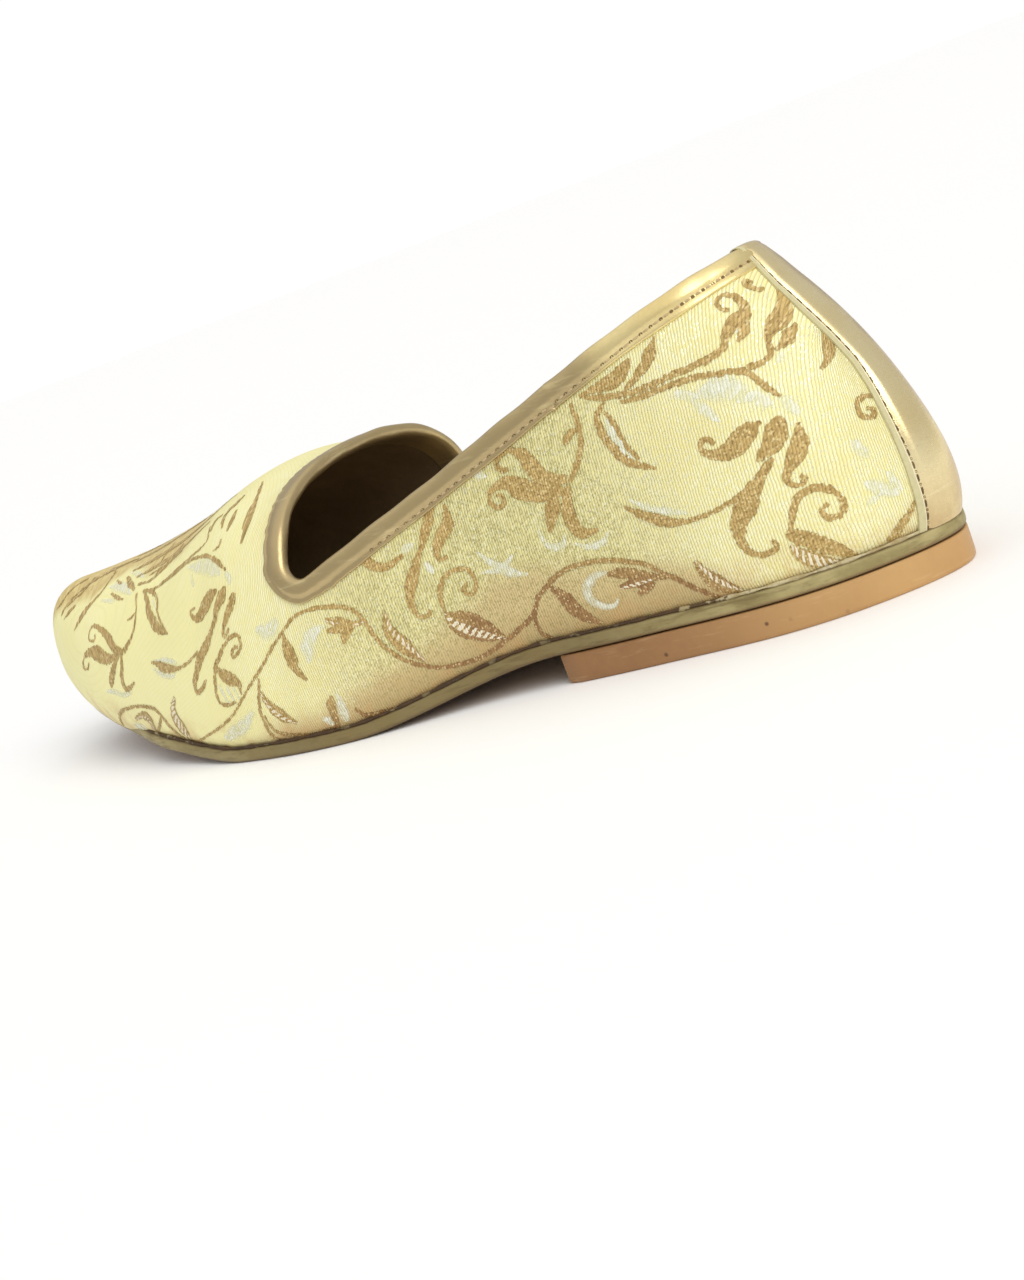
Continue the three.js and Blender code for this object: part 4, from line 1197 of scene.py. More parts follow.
def build_underside(rim):
    """The sole's underside, ruled across from one side of its rim to the other."""
    columns = 9
    across = np.linspace(0, 1, columns)[:, None]
    n = len(rim)
    flat = np.stack([rim[i] + (rim[(n - i) % n] - rim[i]) * across for i in range(SOLE_COUNT)])
    flat[..., 2] = tread(flat[..., 0])
    faces = quads(SOLE_COUNT, columns, flip=True)
    obj = make("outsole_underside", flat.reshape(-1, 3), faces, smooth=60)
    obj.data.materials.append(MAT["underside"])
    weld(obj, 0.005)
    return obj


def build_seam():
    """The join between upper and sole, an uneven thread of eight sides; where dark it is partly worn thread
    and partly painted shadow of the gap.
    """
    foot, out, run = sole_outline()
    sides, out_by, up_by = 8, 0.25, 0.22
    thick = 0.42 + 0.12 * np.sin(run / 1.9) + 0.1 * np.sin(run / 0.83 + 2)
    thick = thick + 0.16 * np.exp(-(((foot[:, 0] - 112) / 14) ** 2))
    base = tread(foot[:, 0]) + SOLE_THICKNESS + up_by
    rows = []
    for angle in np.radians(np.linspace(0, 360, sides + 1)[:-1]):
        flat = foot + out * (out_by + thick * np.cos(angle))[:, None]
        rows.append(np.column_stack([flat, base + thick * np.sin(angle) * 0.9]))
    grid = np.stack(rows, 1)
    pale = np.interp(foot[:, 0], [34, 56], [1, 0])
    pale = pale + np.interp(foot[:, 0], [196, 210, 226, 240], [0, 0.3, 0.3, 0])
    faces = quads(len(foot), sides, loop_rows=True, loop_cols=True)
    obj = make("sole_seam", grid.reshape(-1, 3), faces, None, {"pale": np.repeat(pale, sides)}, smooth=80)
    obj.data.materials.append(MAT["seam"])
    weld(obj, 0.002, recalc=True)
    return obj


def build_heel():
    """The heel block: a level slab cut square at a slightly hollow breast, with eased edges."""
    foot, out = sole_ring(SOLE_COUNT)
    keep = foot[:, 0] < HEEL_LENGTH - 1.5
    order = np.flatnonzero(keep)
    split = np.flatnonzero(np.diff(order) > 1)
    order = np.concatenate([order[split[0] + 1:], order[:split[0] + 1]]) if len(split) else order
    outline, ways = foot[order], out[order]
    breast_y = np.linspace(outline[-1, 1], outline[0, 1], 21)
    share = 2 * (breast_y - breast_y.mean()) / (breast_y.max() - breast_y.min())
    curve = HEEL_LENGTH - BREAST_BOW * (1 - share**2)
    breast = np.column_stack([curve, breast_y])
    loop = np.vstack([outline, breast])
    normal = np.vstack([ways, np.tile([1.0, 0.0], (len(breast), 1))])
    profile = [
        (0.2, 6.75), (0.75, 6.7), (0.95, 6.5), (1.0, 6.0), (1.0, 1.0), (0.92, 0.45), (0.65, 0.1), (0.2, 0.0),
    ]
    rows = []
    for push, z in profile:
        rows.append(np.column_stack([loop + normal * push, np.full(len(loop), z)]))
    grid = np.stack(rows, 1)
    n, k = grid.shape[:2]
    points = grid.reshape(-1, 3)
    faces = quads(n, k, loop_rows=True, flip=True).tolist()
    faces.append([i * k + k - 1 for i in range(n)])
    faces.append([i * k for i in range(n)][::-1])
    obj = make("heel_block_body", points, faces, smooth=35)
    obj.data.materials.append(MAT["heel"])
    weld(obj, 0.005, recalc=True)
    return obj


# ---------------------------------------------------------------- shader helpers
class Net:
    """A thin layer over one node tree, so that a formula reads in the order it is worked out."""

    def __init__(self, tree):
        self.tree, self.nodes, self.links = tree, tree.nodes, tree.links

    def put(self, value, socket):
        if isinstance(value, bpy.types.NodeSocket):
            self.links.new(value, socket)
        elif value is not None:
            socket.default_value = value

    def add(self, kind, inputs=None, **settings):
        node = self.nodes.new(kind)
        for key, value in settings.items():
            setattr(node, key, value)
        for key, value in (inputs or {}).items():
            self.put(value, node.inputs[key])
        return node

    def math(self, operation, a, b=None, c=None, clamp=False):
        node = self.add("ShaderNodeMath", operation=operation, use_clamp=clamp)
        for value, socket in zip((a, b, c), node.inputs):
            self.put(value, socket)
        return node.outputs[0]

    def times(self, a, b, clamp=False):
        return self.math("MULTIPLY", a, b, clamp=clamp)

    def plus(self, a, b, clamp=False):
        return self.math("ADD", a, b, clamp=clamp)

    def minus(self, a, b):
        return self.math("SUBTRACT", a, b)

    def ramp(self, value, low, high):
        """0 below low, 1 above high."""
        node = self.add("ShaderNodeMapRange", {0: value, 1: low, 2: high})
        node.interpolation_type = "SMOOTHSTEP"
        return node.outputs[0]

    def mix(self, factor, a, b):
        node = self.add("ShaderNodeMix", data_type="RGBA")
        self.put(factor, node.inputs[0])
        self.put(a, node.inputs[6])
        self.put(b, node.inputs[7])
        return node.outputs[2]

    def noise(self, vector, scale, detail=2.0, rough=0.5):
        inputs = {"Vector": vector, "Scale": scale, "Detail": detail, "Roughness": rough}
        return self.add("ShaderNodeTexNoise", inputs).outputs[0]

    def chance(self, vector):
        """A random value for each value of vector."""
        return self.add("ShaderNodeTexWhiteNoise", {"Vector": vector}).outputs[0]

    def join(self, x, y):
        return self.add("ShaderNodeCombineXYZ", {0: x, 1: y}).outputs[0]

    def stretch(self, vector, scale):
        return self.add("ShaderNodeMapping", {"Vector": vector, "Scale": scale}).outputs[0]

    def uv(self, name):
        return self.add("ShaderNodeUVMap", uv_map=name).outputs[0]

    def attribute(self, name):
        return self.add("ShaderNodeAttribute", attribute_name=name).outputs["Fac"]

    def object_point(self):
        return self.add("ShaderNodeTexCoord").outputs["Object"]

    def group(self, tree, inputs):
        node = self.add("ShaderNodeGroup", node_tree=tree)
        for key, value in inputs.items():
            self.put(value, node.inputs[key])
        return node


def rgb(r, g, b):
    """Linear colour of a screen colour given as 0 to 255."""
    screen = (r / 255, g / 255, b / 255)
    return tuple(v / 12.92 if v <= 0.04045 else ((v + 0.055) / 1.055) ** 2.4 for v in screen) + (1.0,)


def new_group(name, inputs, outputs):
    tree = bpy.data.node_groups.new(name, "ShaderNodeTree")
    for key, kind, value in inputs:
        socket = tree.interface.new_socket(name=key, in_out="INPUT", socket_type=kind)
        if value is not None:
            socket.default_value = value
    for key, kind in outputs:
        tree.interface.new_socket(name=key, in_out="OUTPUT", socket_type=kind)
    net = Net(tree)
    return tree, net, net.add("NodeGroupInput").outputs, net.add("NodeGroupOutput").inputs


VEC, NUM = "NodeSocketVector", "NodeSocketFloat"


def weave_group():
    """Ribbed brocade ground: rib height, dark ticks in the grooves between ribs and stitches, a random value
    a stitch. The ticks are partly darker thread and partly painted shade in the grooves.
    """
    tree, n, i, o = new_group(
        "ribbed weave",
        [("Cloth", VEC, None), ("Pitch", NUM, RIB_PITCH), ("Stitch", NUM, 0.95)],
        [("Height", NUM), ("Tick", NUM), ("Cell", NUM)],
    )
    split = n.add("ShaderNodeSeparateXYZ", {0: i["Cloth"]}).outputs
    wander = n.times(n.minus(n.noise(i["Cloth"], 0.35, 1.0), 0.5), 0.5)
    u = n.math("DIVIDE", n.plus(split[0], wander), i["Pitch"])
    rib = n.math("FLOOR", u)
    across = n.minus(u, rib)
    round_rib = n.math("SINE", n.times(across, math.pi))
    stagger = n.times(rib, 0.38)
    v = n.plus(n.plus(n.math("DIVIDE", split[1], i["Stitch"]), stagger), n.times(across, 0.35))
    stitch = n.math("FLOOR", v)
    along = n.minus(v, stitch)
    cell = n.chance(n.join(rib, stitch))
    bead = n.math("SINE", n.times(along, math.pi))
    gap = n.minus(1.0, n.ramp(round_rib, 0.1, 0.62))
    short = n.minus(1.0, n.ramp(bead, 0.1, 0.5))
    # Partly painted shade: the ticks are darkest in the grooves, where the rib height dips.
    dark = n.plus(n.times(gap, 0.75), n.times(short, 0.35))
    tick = n.times(dark, n.plus(0.55, n.times(cell, 0.6)), clamp=True)
    height = n.times(round_rib, n.plus(0.72, n.times(bead, 0.28)))
    for value, key in ((height, "Height"), (tick, "Tick"), (cell, "Cell")):
        n.put(value, o[key])
    return tree


def glint_group():
    """Scattered specks where the metal threads glint; the materials paint them in as highlights, and the
    ground also as shaded pits.
    """
    tree, n, i, o = new_group(
        "metal glints", [("Cloth", VEC, None), ("Size", NUM, 0.4), ("Share", NUM, 0.1)], [("Mask", NUM)]
    )
    scale = n.math("DIVIDE", 1.0, i["Size"])
    cells = n.add("ShaderNodeTexVoronoi", {"Vector": i["Cloth"], "Scale": scale}, voronoi_dimensions="2D")
    value = n.chance(cells.outputs["Color"])
    patch = n.noise(i["Cloth"], 0.06, 3.0, 0.6)
    edge = n.minus(1.0, n.times(i["Share"], n.times(patch, 2.0)))
    near = n.minus(1.0, n.ramp(cells.outputs["Distance"], 0.25, 0.6))
    n.put(n.times(n.ramp(value, edge, n.plus(edge, 0.03)), near), o["Mask"])
    return tree


def wear_group():
    """Slow patches, fine grain and small specks, from a point on the object."""
    tree, n, i, o = new_group(
        "wear", [("Point", VEC, None), ("Patch", NUM, 60.0), ("Grain", NUM, 900.0)],
        [("Patch", NUM), ("Grain", NUM), ("Speck", NUM), ("Scratch", NUM)],
    )
    n.put(n.ramp(n.noise(i["Point"], i["Patch"], 4.0, 0.6), 0.35, 0.65), o["Patch"])
    n.put(n.noise(i["Point"], i["Grain"], 3.0, 0.65), o["Grain"])
    spots = n.add("ShaderNodeTexVoronoi", {"Vector": i["Point"], "Scale": n.times(i["Grain"], 0.16)})
    keep = n.ramp(n.chance(spots.outputs["Color"]), 0.72, 0.76)
    n.put(n.times(n.minus(1.0, n.ramp(spots.outputs["Distance"], 0.04, 0.12)), keep), o["Speck"])
    long = n.stretch(i["Point"], (0.12, 0.12, 1.0))
    n.put(n.ramp(n.noise(long, n.times(i["Grain"], 0.5), 4.0, 0.7), 0.56, 0.68), o["Scratch"])
    return tree


WEAVE, GLINT, WEAR = weave_group(), glint_group(), wear_group()


def new_material(name):
    material = bpy.data.materials.new(name)
    material.use_nodes = True
    net = Net(material.node_tree)
    net.nodes.clear()
    shader = net.add("ShaderNodeBsdfPrincipled")
    out = net.add("ShaderNodeOutputMaterial")
    net.links.new(shader.outputs[0], out.inputs[0])
    return material, net, shader


def finish_material(net, shader, color, rough, metal=0.0, height=None, distance=0.1, strength=1.0, **more):
    net.put(color, shader.inputs["Base Color"])
    net.put(rough, shader.inputs["Roughness"])
    net.put(metal, shader.inputs["Metallic"])
    if height is not None:
        bump = net.add("ShaderNodeBump", {"Height": height, "Distance": distance * MM, "Strength": strength})
        net.links.new(bump.outputs[0], shader.inputs["Normal"])
    for key, value in more.items():
        net.put(value, shader.inputs[key.replace("_", " ")])


def brocade_ground():
    m, n, s = new_material("brocade ground")
    cloth = n.uv("weave")
    spot = n.uv("cloth")
    rib = n.group(WEAVE, {"Cloth": cloth}).outputs
    glint = n.group(GLINT, {"Cloth": cloth, "Size": 0.42, "Share": 0.2}).outputs
    tan, dull, low, toe, ridge = (n.attribute(key) for key in ("tan", "dull", "low", "toe", "ridge"))
    light = n.mix(rib["Cell"], rgb(246, 239, 172), rgb(254, 251, 206))
    shade = n.times(n.ramp(n.noise(spot, 0.045, 3.0), 0.35, 0.7), 0.5)
    light = n.mix(shade, light, rgb(238, 226, 152))
    light = n.mix(n.times(toe, 0.7), light, rgb(253, 247, 180))
    muted = n.mix(rib["Cell"], rgb(240, 232, 168), rgb(212, 203, 138))
    base = n.mix(n.times(dull, 0.9), light, muted)
    cream = n.mix(n.noise(cloth, 1.4, 2.0), rgb(204, 180, 122), rgb(222, 200, 146))
    weight = n.minus(0.85, n.plus(n.times(tan, 0.25), n.times(toe, 0.58)))
    # The ticks darken the grooves between ribs and stitches: partly the weave's darker threads, partly
    # painted shade in the grooves.
    tick = n.times(rib["Tick"], weight)
    base = n.mix(tick, base, n.mix(dull, rgb(204, 188, 112), rgb(158, 146, 84)))
    patchy = n.ramp(n.plus(tan, n.times(n.minus(n.noise(spot, 0.16, 3.0), 0.5), 0.6)), 0.05, 0.8)
    base = n.mix(n.times(patchy, 0.85), base, n.mix(tick, cream, rgb(164, 138, 88)))
    deep = n.times(n.times(low, tan), 0.6)
    base = n.mix(deep, base, rgb(158, 128, 80))
    bands = n.ramp(n.plus(ridge, n.times(n.minus(n.noise(spot, 0.1, 3.0), 0.5), 0.9)), 0.1, 0.9)
    base = n.mix(n.times(bands, 0.8), base, n.mix(rib["Cell"], rgb(198, 166, 98), rgb(222, 198, 130)))
    # Painted highlight: glint specks coloured near white, partly the metal threads' paler colour and partly
    # painted glints; they are also smoother and more metal.
    painted_highlight = n.times(glint["Mask"], n.minus(1.0, n.math("MAXIMUM", tan, n.ramp(toe, 0.0, 0.3))))
    base = n.mix(n.times(painted_highlight, 0.7), base, rgb(255, 253, 218))
    # Painted shade: dark specks in the dull zone, the shade in the weave's pits.
    pits = n.group(GLINT, {"Cloth": cloth, "Size": 0.58, "Share": 0.3}).outputs
    base = n.mix(n.times(n.times(pits["Mask"], dull), 0.5), base, rgb(150, 140, 80))
    worn = n.times(low, n.ramp(n.noise(spot, 0.11, 4.0, 0.7), 0.38, 0.66))
    base = n.mix(n.times(worn, 0.7), base, rgb(206, 164, 106))
    rough = n.minus(0.55, n.times(painted_highlight, 0.3))
    metal = n.times(n.minus(1.0, tan), n.times(painted_highlight, 0.45))
    height = n.times(rib["Height"], n.minus(1.0, n.plus(n.times(tan, 0.2), n.times(toe, 0.78), clamp=True)))
    finish_material(n, s, base, rough, metal, height, 0.16, 0.9)
    return m


def brocade_figure(name, deep, pale, speck, spark, silver=False):
    """A woven figure. Its own map runs across (-1 to 1) and along (millimetres)."""
    m, n, s = new_material(name)
    cloth, own = n.uv("weave"), n.add("ShaderNodeSeparateXYZ", {0: n.uv("figure")}).outputs
    rib = n.group(WEAVE, {"Cloth": cloth}).outputs
    kind = n.attribute("kind")
    size = n.attribute("size")
    color = n.mix(rib["Cell"], deep, pale)
    if not silver:
        darker = n.mix(rib["Cell"], rgb(140, 98, 56), rgb(174, 130, 82))
        color = n.mix(n.times(n.attribute("deep"), 0.85), color, darker)
    # Dark ticks in the grooves between ribs and stitches: partly darker threads, partly painted shade in the
    # grooves.
    color = n.mix(n.times(rib["Tick"], 0.2 if silver else 0.45), color, speck)
    color = n.mix(n.times(n.ramp(n.noise(cloth, 1.7, 3.0, 0.7), 0.5, 0.64), 0.75), color, speck)
    # Painted highlight: glint specks in a paler colour, partly the metal threads' own colour and partly
    # painted glints.
    glint = n.group(GLINT, {"Cloth": cloth, "Size": 0.5, "Share": 0.2}).outputs
    color = n.mix(n.times(glint["Mask"], 0.6), color, spark)
    stripes = n.math("SINE", n.times(n.plus(own[1], n.times(own[0], 1.2)), 2 * math.pi / 1.5))
    line = n.ramp(n.plus(stripes, n.times(n.minus(rib["Cell"], 0.5), 1.5)), -0.3, 0.25)
    half = n.ramp(own[0], -0.05, 0.06)
    inner = n.minus(1.0, n.ramp(n.math("ABSOLUTE", own[0]), 0.6, 0.72))
    is_split = n.math("COMPARE", kind, 1.0, 0.2)
    is_open = n.math("COMPARE", kind, 2.0, 0.2)
    show = n.plus(n.times(n.times(half, inner), is_split), n.times(inner, is_open))
    color = n.mix(n.times(show, line), color, rgb(242, 232, 204))
    shake = n.math("DIVIDE", n.minus(rib["Cell"], 0.5), n.math("MAXIMUM", size, 0.4))
    edge = n.plus(n.math("ABSOLUTE", own[0]), n.times(shake, 0.42))
    inside = n.minus(1.0, n.ramp(edge, 0.93, 1.03))
    if silver:
        soft = n.minus(1.0, n.ramp(n.math("ABSOLUTE", own[0]), 0.3, 1.05))
        inside = n.times(n.times(inside, soft), n.plus(0.42, n.times(rib["Cell"], 0.45)))
    finish_material(n, s, color, 0.5, 0.0, rib["Height"], 0.16, 0.9, Alpha=inside)
    return m


def gold_leather(name, base, dark, pale, dull, grain=0.5, rough=0.34):
    """Metallic leather; one layer dulls its colour where shade and a darker reflection are painted in."""
    m, n, s = new_material(name)
    point = n.object_point()
    wear = n.group(WEAR, {"Point": point, "Patch": 55.0, "Grain": 1100.0}).outputs
    painted_shade = n.attribute("painted_shade")
    color = n.mix(n.times(wear["Patch"], 0.5), base, pale)
    # Painted shade and painted darker reflection: duller colour where that layer is high.
    color = n.mix(n.ramp(n.plus(painted_shade, n.times(n.minus(wear["Patch"], 0.5), 0.3)), 0.15, 0.85), color, dull)
    color = n.mix(n.times(wear["Grain"], 0.35), color, dark)
    color = n.mix(n.times(wear["Scratch"], 0.22), color, pale)
    raw = n.attribute("raw")
    color = n.mix(raw, color, n.mix(wear["Grain"], rgb(214, 206, 160), rgb(190, 180, 134)))
    # The layer read here paints a highlight: a near-white, non-metal line on the crest beside the raw edge.
    line = n.attribute("line")
    color = n.mix(line, color, rgb(250, 246, 218))
    roughness = n.plus(rough, n.times(n.minus(wear["Grain"], 0.5), 0.25))
    roughness = n.plus(roughness, n.times(raw, 0.25))
    metal = n.times(0.8, n.minus(1.0, n.math("MAXIMUM", raw, line)))
    height = n.plus(n.times(n.noise(point, 2600.0, 2.0), 0.5), n.times(n.noise(point, 420.0, 3.0), 0.8))
    finish_material(n, s, color, roughness, metal, height, 0.12, grain)
    return m


def simple(name, colors, scale, rough, bump=0.05, specks=0.0):
    """A worn finish in three colours: two in patches and one in the grain."""
    m, n, s = new_material(name)
    wear = n.group(WEAR, {"Point": n.object_point(), "Patch": scale, "Grain": 700.0}).outputs
    color = n.mix(wear["Patch"], colors[0], colors[1])
    color = n.mix(n.times(wear["Grain"], 0.35), color, colors[2])
    if specks:
        color = n.mix(n.times(wear["Speck"], specks), color, (0.02, 0.012, 0.008, 1))
    finish_material(n, s, color, rough, 0.0, wear["Grain"], bump, 0.8)
    return m


def heel_stack():
    """Waxed heel block, darker towards its front edge, with pits and small dark specks."""
    m, n, s = new_material("heel block")
    point = n.object_point()
    wear = n.group(WEAR, {"Point": point, "Patch": 26.0, "Grain": 700.0}).outputs
    fine = n.group(WEAR, {"Point": point, "Patch": 60.0, "Grain": 1150.0}).outputs
    forward = n.ramp(n.add("ShaderNodeSeparateXYZ", {0: point}).outputs[0], -0.14, -0.07)
    color = n.mix(wear["Patch"], rgb(204, 164, 106), rgb(192, 150, 94))
    color = n.mix(forward, color, n.mix(wear["Patch"], rgb(150, 108, 66), rgb(136, 96, 56)))
    color = n.mix(n.times(wear["Grain"], 0.3), color, rgb(180, 132, 82))
    color = n.mix(n.times(wear["Speck"], 0.8), color, rgb(92, 56, 30))
    color = n.mix(n.times(fine["Speck"], 0.85), color, rgb(78, 46, 24))
    color = n.mix(n.times(fine["Scratch"], 0.15), color, rgb(232, 198, 150))
    finish_material(n, s, color, n.plus(0.36, n.times(wear["Grain"], 0.2)), 0.0, wear["Grain"], 0.05, 0.8)
    return m


def painted_edge():
    """Dull gold paint on the sole's edge, darker and rubbed in patches, with painted shade at its top under
    the join and along the waist.
    """
    m, n, s = new_material("painted sole edge")
    point = n.object_point()
    wear = n.group(WEAR, {"Point": point, "Patch": 90.0, "Grain": 800.0}).outputs
    height = n.attribute("up")
    color = n.mix(wear["Patch"], rgb(150, 136, 88), rgb(176, 162, 112))
    color = n.mix(n.times(wear["Scratch"], 0.6), color, rgb(112, 94, 56))
    streak = n.ramp(n.noise(n.stretch(point, (1.0, 1.0, 5.0)), 140.0, 4.0, 0.65), 0.5, 0.68)
    color = n.mix(n.times(streak, 0.55), color, rgb(122, 104, 62))
    under = n.minus(1.0, n.ramp(height, 0.05, 0.3))
    color = n.mix(n.times(under, 0.75), color, rgb(124, 98, 74))
    # Painted shade: the top of the edge, under the join with the upper, is coloured dark.
    over = n.ramp(height, 0.86, 1.0)
    color = n.mix(n.times(over, 0.7), color, rgb(84, 62, 34))
    color = n.mix(n.times(wear["Speck"], 0.7), color, rgb(70, 50, 30))
    # Painted shade along the waist, where the layer asks for it.
    shaded = n.mix(wear["Patch"], rgb(120, 100, 58), rgb(98, 80, 46))
    color = n.mix(n.times(n.attribute("painted_shade"), 0.62), color, shaded)
    finish_material(n, s, color, n.plus(0.42, n.times(wear["Grain"], 0.25)), 0.25, wear["Grain"], 0.12, 0.9)
    return m


def seam_thread_and_gap_shadow():
    """Stuff in the join above the sole: dark along the waist and toe, partly worn thread and partly painted
    shadow of the gap; pale lint round the heel.
    """
    m, n, s = new_material("seam lint and painted gap shadow")
    wear = n.group(WEAR, {"Point": n.object_point(), "Patch": 260.0, "Grain": 1400.0}).outputs
    # Dark: partly worn thread, partly painted shadow of the gap between upper and sole.
    dark = n.mix(wear["Patch"], rgb(88, 62, 34), rgb(62, 44, 24))
    pale = n.mix(wear["Patch"], rgb(226, 216, 176), rgb(176, 158, 112))
    color = n.mix(n.ramp(n.plus(n.attribute("pale"), n.minus(wear["Patch"], 0.5)), 0.3, 0.7), dark, pale)
    shadow = n.mix(n.attribute("pale"), rgb(40, 28, 16), rgb(130, 112, 76))
    color = n.mix(n.times(wear["Grain"], 0.5), color, shadow)
    finish_material(n, s, color, 0.8, 0.0, wear["Grain"], 0.2, 0.9)
    return m


MAT = {
    "ground": brocade_ground(),
    "bronze": brocade_figure(
        "bronze figure", rgb(180, 150, 84), rgb(220, 190, 122), rgb(122, 90, 42), rgb(244, 226, 168)
    ),
    "silver": brocade_figure(
        "silver figure", rgb(250, 252, 220), rgb(255, 255, 238), rgb(234, 236, 196), rgb(255, 255, 248),
        silver=True,
    ),
    "binding": gold_leather(
        "gold binding leather", rgb(246, 222, 154), rgb(188, 160, 104), rgb(255, 240, 182),
        rgb(192, 172, 128),
    ),
    "strip": gold_leather(
        "heel strip leather", rgb(244, 224, 168), rgb(200, 172, 118), rgb(255, 244, 200),
        rgb(196, 168, 124), grain=0.4, rough=0.3,
    ),
    "thread": simple("thread", (rgb(206, 184, 142), rgb(188, 164, 120), rgb(140, 116, 78)), 300.0, 0.6),
    "dark_thread": simple(
        "dark thread", (rgb(120, 96, 58), rgb(96, 76, 44), rgb(76, 58, 32)), 300.0, 0.6
    ),
    # The needle holes' darker colours are painted shade in the holes.
    "hole": simple("needle holes", (rgb(112, 90, 56), rgb(132, 108, 68), rgb(82, 62, 38)), 300.0, 0.8),
    "edge": painted_edge(),
    "underside": simple(
        "sole underside", (rgb(150, 118, 84), rgb(166, 134, 98), rgb(120, 92, 62)), 40.0, 0.62,
        bump=0.1, specks=0.6,
    ),
    "heel": heel_stack(),
    "lining": simple(
        "dark lining", (rgb(156, 134, 100), rgb(138, 116, 84), rgb(106, 88, 64)), 60.0, 0.7, bump=0.08
    ),
    "insole": simple(
        "insole", (rgb(146, 126, 94), rgb(130, 110, 80), rgb(102, 86, 62)), 50.0, 0.75, bump=0.08
    ),
    "seam": seam_thread_and_gap_shadow(),
}


# ---------------------------------------------------------------- the pieces
STITCHED_TO = 116.0
FOLD_ROWS = 14


def stitch_row(name, line, normals, pitch, length, hole, thread, closed, keep=None, width=0.55):
    p, n, t = spaced(line, normals, pitch, closed)
    if keep is not None:
        chosen = keep(p)
        p, n, t = p[chosen], n[chosen], t[chosen]
    stitches = stitch_mesh(name + "_stitches", p, n, t, length, width, 0.22, thread)
    between = p + t * pitch / 2
    holes = disc_mesh(name + "_needle_holes", between, n, t, hole, hole * 0.8, MAT["hole"])
    return [stitches, holes]


brocade = build_skin("brocade_upper", 330, 76)
brocade.data.materials.append(MAT["ground"])
lining = build_skin("upper_lining", 150, 40, inside=True)
lining.data.materials.append(MAT["lining"])
figures = all_figures()
bronze = figure_mesh("brocade_bronze_figures", figures, False, 0.09)
silver = figure_mesh("brocade_silver_figures", figures, True, 0.05)
binding, row_points, row_normals = build_binding()
strip, strip_grid = build_strip()
sole_edge, sole_rim = build_sole_edge()
underside = build_underside(sole_rim)
seam = build_seam()
heel = build_heel()
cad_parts["insole"].data.materials.clear()
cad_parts["insole"].data.materials.append(MAT["insole"])

sewing = stitch_row(
    "collar", row_points, row_normals, pitch=2.6, length=1.3, hole=0.9, thread=MAT["thread"], closed=True,
    keep=lambda p: p[:, 0] < STITCHED_TO,
)
for label, edge_column in (("strip_near", 6), ("strip_far", -7)):
    face_rows = strip_grid[:-FOLD_ROWS]
    line = face_rows[:, edge_column]
    outward_way = line * [1, 1, 0] - [40.0, 0, 0]
    across_way = np.gradient(face_rows, axis=1)[:, edge_column]
    face = np.cross(across_way, np.gradient(line, axis=0))
    face *= np.sign((face * outward_way).sum(1))[:, None]
    sewing += stitch_row(
        label, line, unit(face), pitch=2.7, length=1.7, hole=0.6, thread=MAT["dark_thread"], closed=False,
        width=0.42,
    )

for piece, node, slot in (
    (brocade, "upper", "brocade"),
    (bronze, "upper", "brocade"),
    (silver, "upper", "brocade"),
    (lining, "upper", "insole_sock"),
    (binding, "collar_binding", "gold_leather"),
    (strip, "heel_strip", "gold_leather"),
    (sole_edge, "outsole", "painted_sole"),
    (underside, "outsole", "painted_sole"),
    (seam, "outsole", "painted_sole"),
    (heel, "heel", "heel_block"),
):
    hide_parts(node)
    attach(piece, "root")
for piece in sewing:
    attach(piece, "root")


# ---------------------------------------------------------------- floor, light and camera
def plain_floor():
    bpy.ops.mesh.primitive_plane_add(size=400, location=(0, 0, 0))
    floor = bpy.context.object
    floor.name = "floor"
    m, net, s = new_material("floor paint")
    shade = net.noise(net.object_point(), 3.0, 2.0)
    finish_material(net, s, net.mix(shade, rgb(254, 254, 254), rgb(255, 255, 255)), 0.85)
    floor.data.materials.append(m)
    return floor


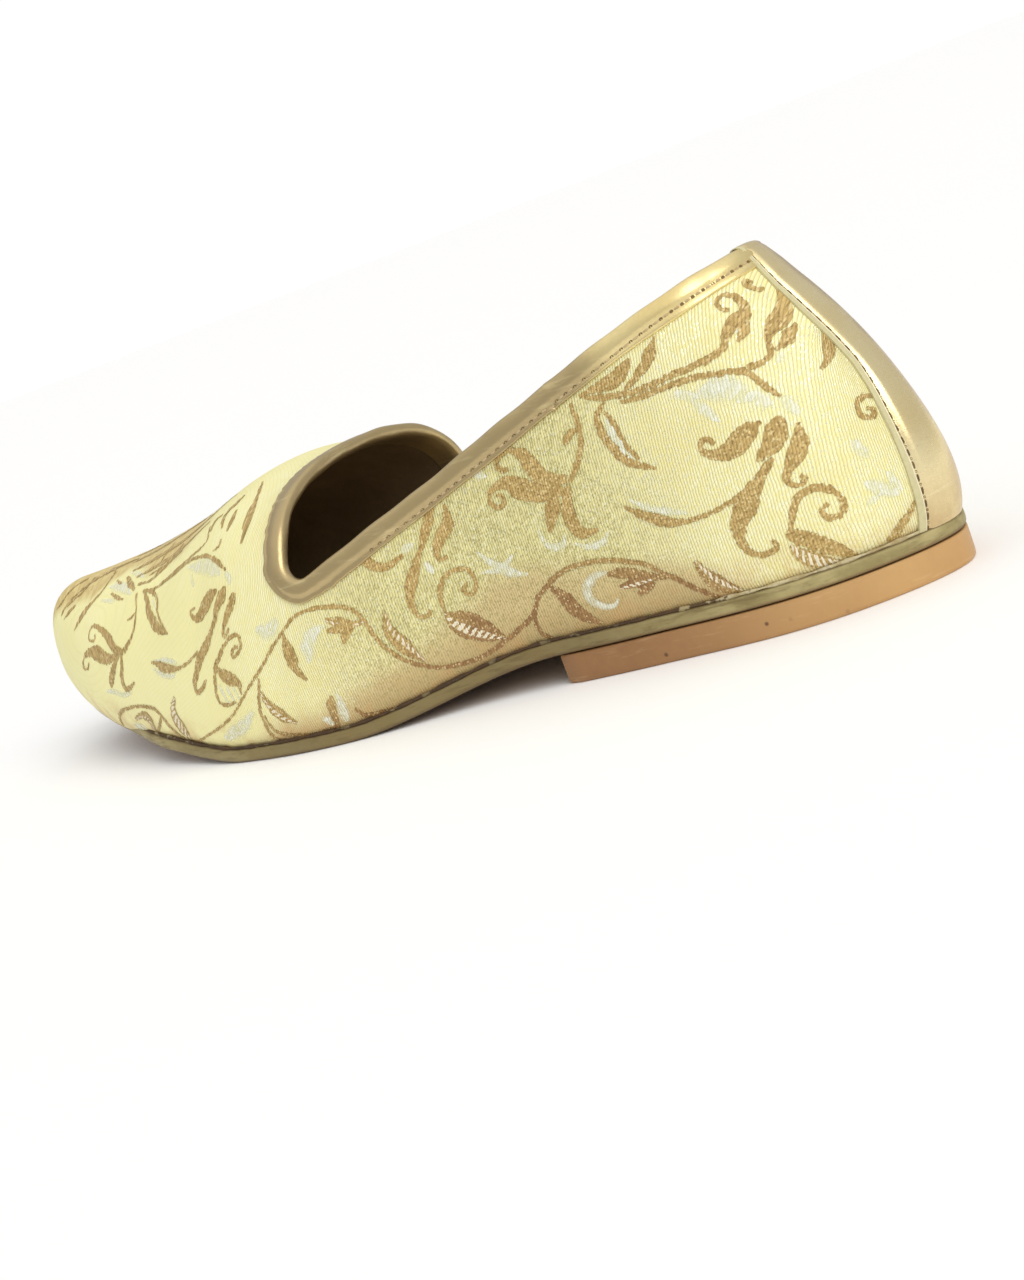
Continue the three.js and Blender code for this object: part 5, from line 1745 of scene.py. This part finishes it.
plain_floor()
world = bpy.data.worlds.new("studio")
world.use_nodes = True
sky = Net(world.node_tree)
backdrop = world.node_tree.nodes["Background"]
sky.put((1, 1, 1, 1), backdrop.inputs[0])
seen = sky.add("ShaderNodeLightPath").outputs["Is Camera Ray"]
sky.put(sky.plus(0.5, sky.times(seen, 0.55)), backdrop.inputs[1])
bpy.context.scene.world = world


def sun_light(name, toward, strength, spread, color=(1, 1, 1)):
    data = bpy.data.lights.new(name, "SUN")
    data.energy, data.angle, data.color = strength, math.radians(spread), color
    lamp = bpy.data.objects.new(name, data)
    back = np.array(toward, float) / np.linalg.norm(toward)
    right = np.cross([0, 0, 1.0], back)
    right /= np.linalg.norm(right)
    turn = np.eye(4)
    turn[:3, 0], turn[:3, 1], turn[:3, 2] = right, np.cross(back, right), back
    lamp.matrix_world = Matrix(turn.tolist())
    bpy.context.scene.collection.objects.link(lamp)


sun_light("key", (-1.0, 0.5, 1.0), 1.6, 50, (1.0, 0.985, 0.95))
sun_light("overhead", (0.1, 0.05, 1.0), 0.62, 90)
bpy.context.scene.view_settings.view_transform = "Standard"


CAMERA_TURN, CAMERA_RISE, CAMERA_ROLL = 218.908, 11.485, -20.966
CAMERA_PLACE = (-0.315506, 0.366937, 0.10007)
CAMERA_LENS, CAMERA_SENSOR = 56.25, 36.0


def set_camera():
    turn, rise, roll = (math.radians(v) for v in (CAMERA_TURN, CAMERA_RISE, CAMERA_ROLL))
    back = np.array([math.sin(turn) * math.cos(rise), -math.cos(turn) * math.cos(rise), math.sin(rise)])
    right = np.array([math.cos(turn), math.sin(turn), 0.0])
    up = np.cross(back, right)
    right, up = right * math.cos(roll) + up * math.sin(roll), up * math.cos(roll) - right * math.sin(roll)
    pose = np.eye(4)
    pose[:3, 0], pose[:3, 1], pose[:3, 2], pose[:3, 3] = right, up, back, CAMERA_PLACE
    data = bpy.data.cameras.new("camera")
    data.lens, data.sensor_width, data.sensor_fit = CAMERA_LENS, CAMERA_SENSOR, "AUTO"
    data.clip_start, data.clip_end = 0.01, 100
    camera = bpy.data.objects.new("camera", data)
    camera.matrix_world = Matrix(pose.tolist())
    bpy.context.scene.collection.objects.link(camera)
    bpy.context.scene.camera = camera


set_camera()
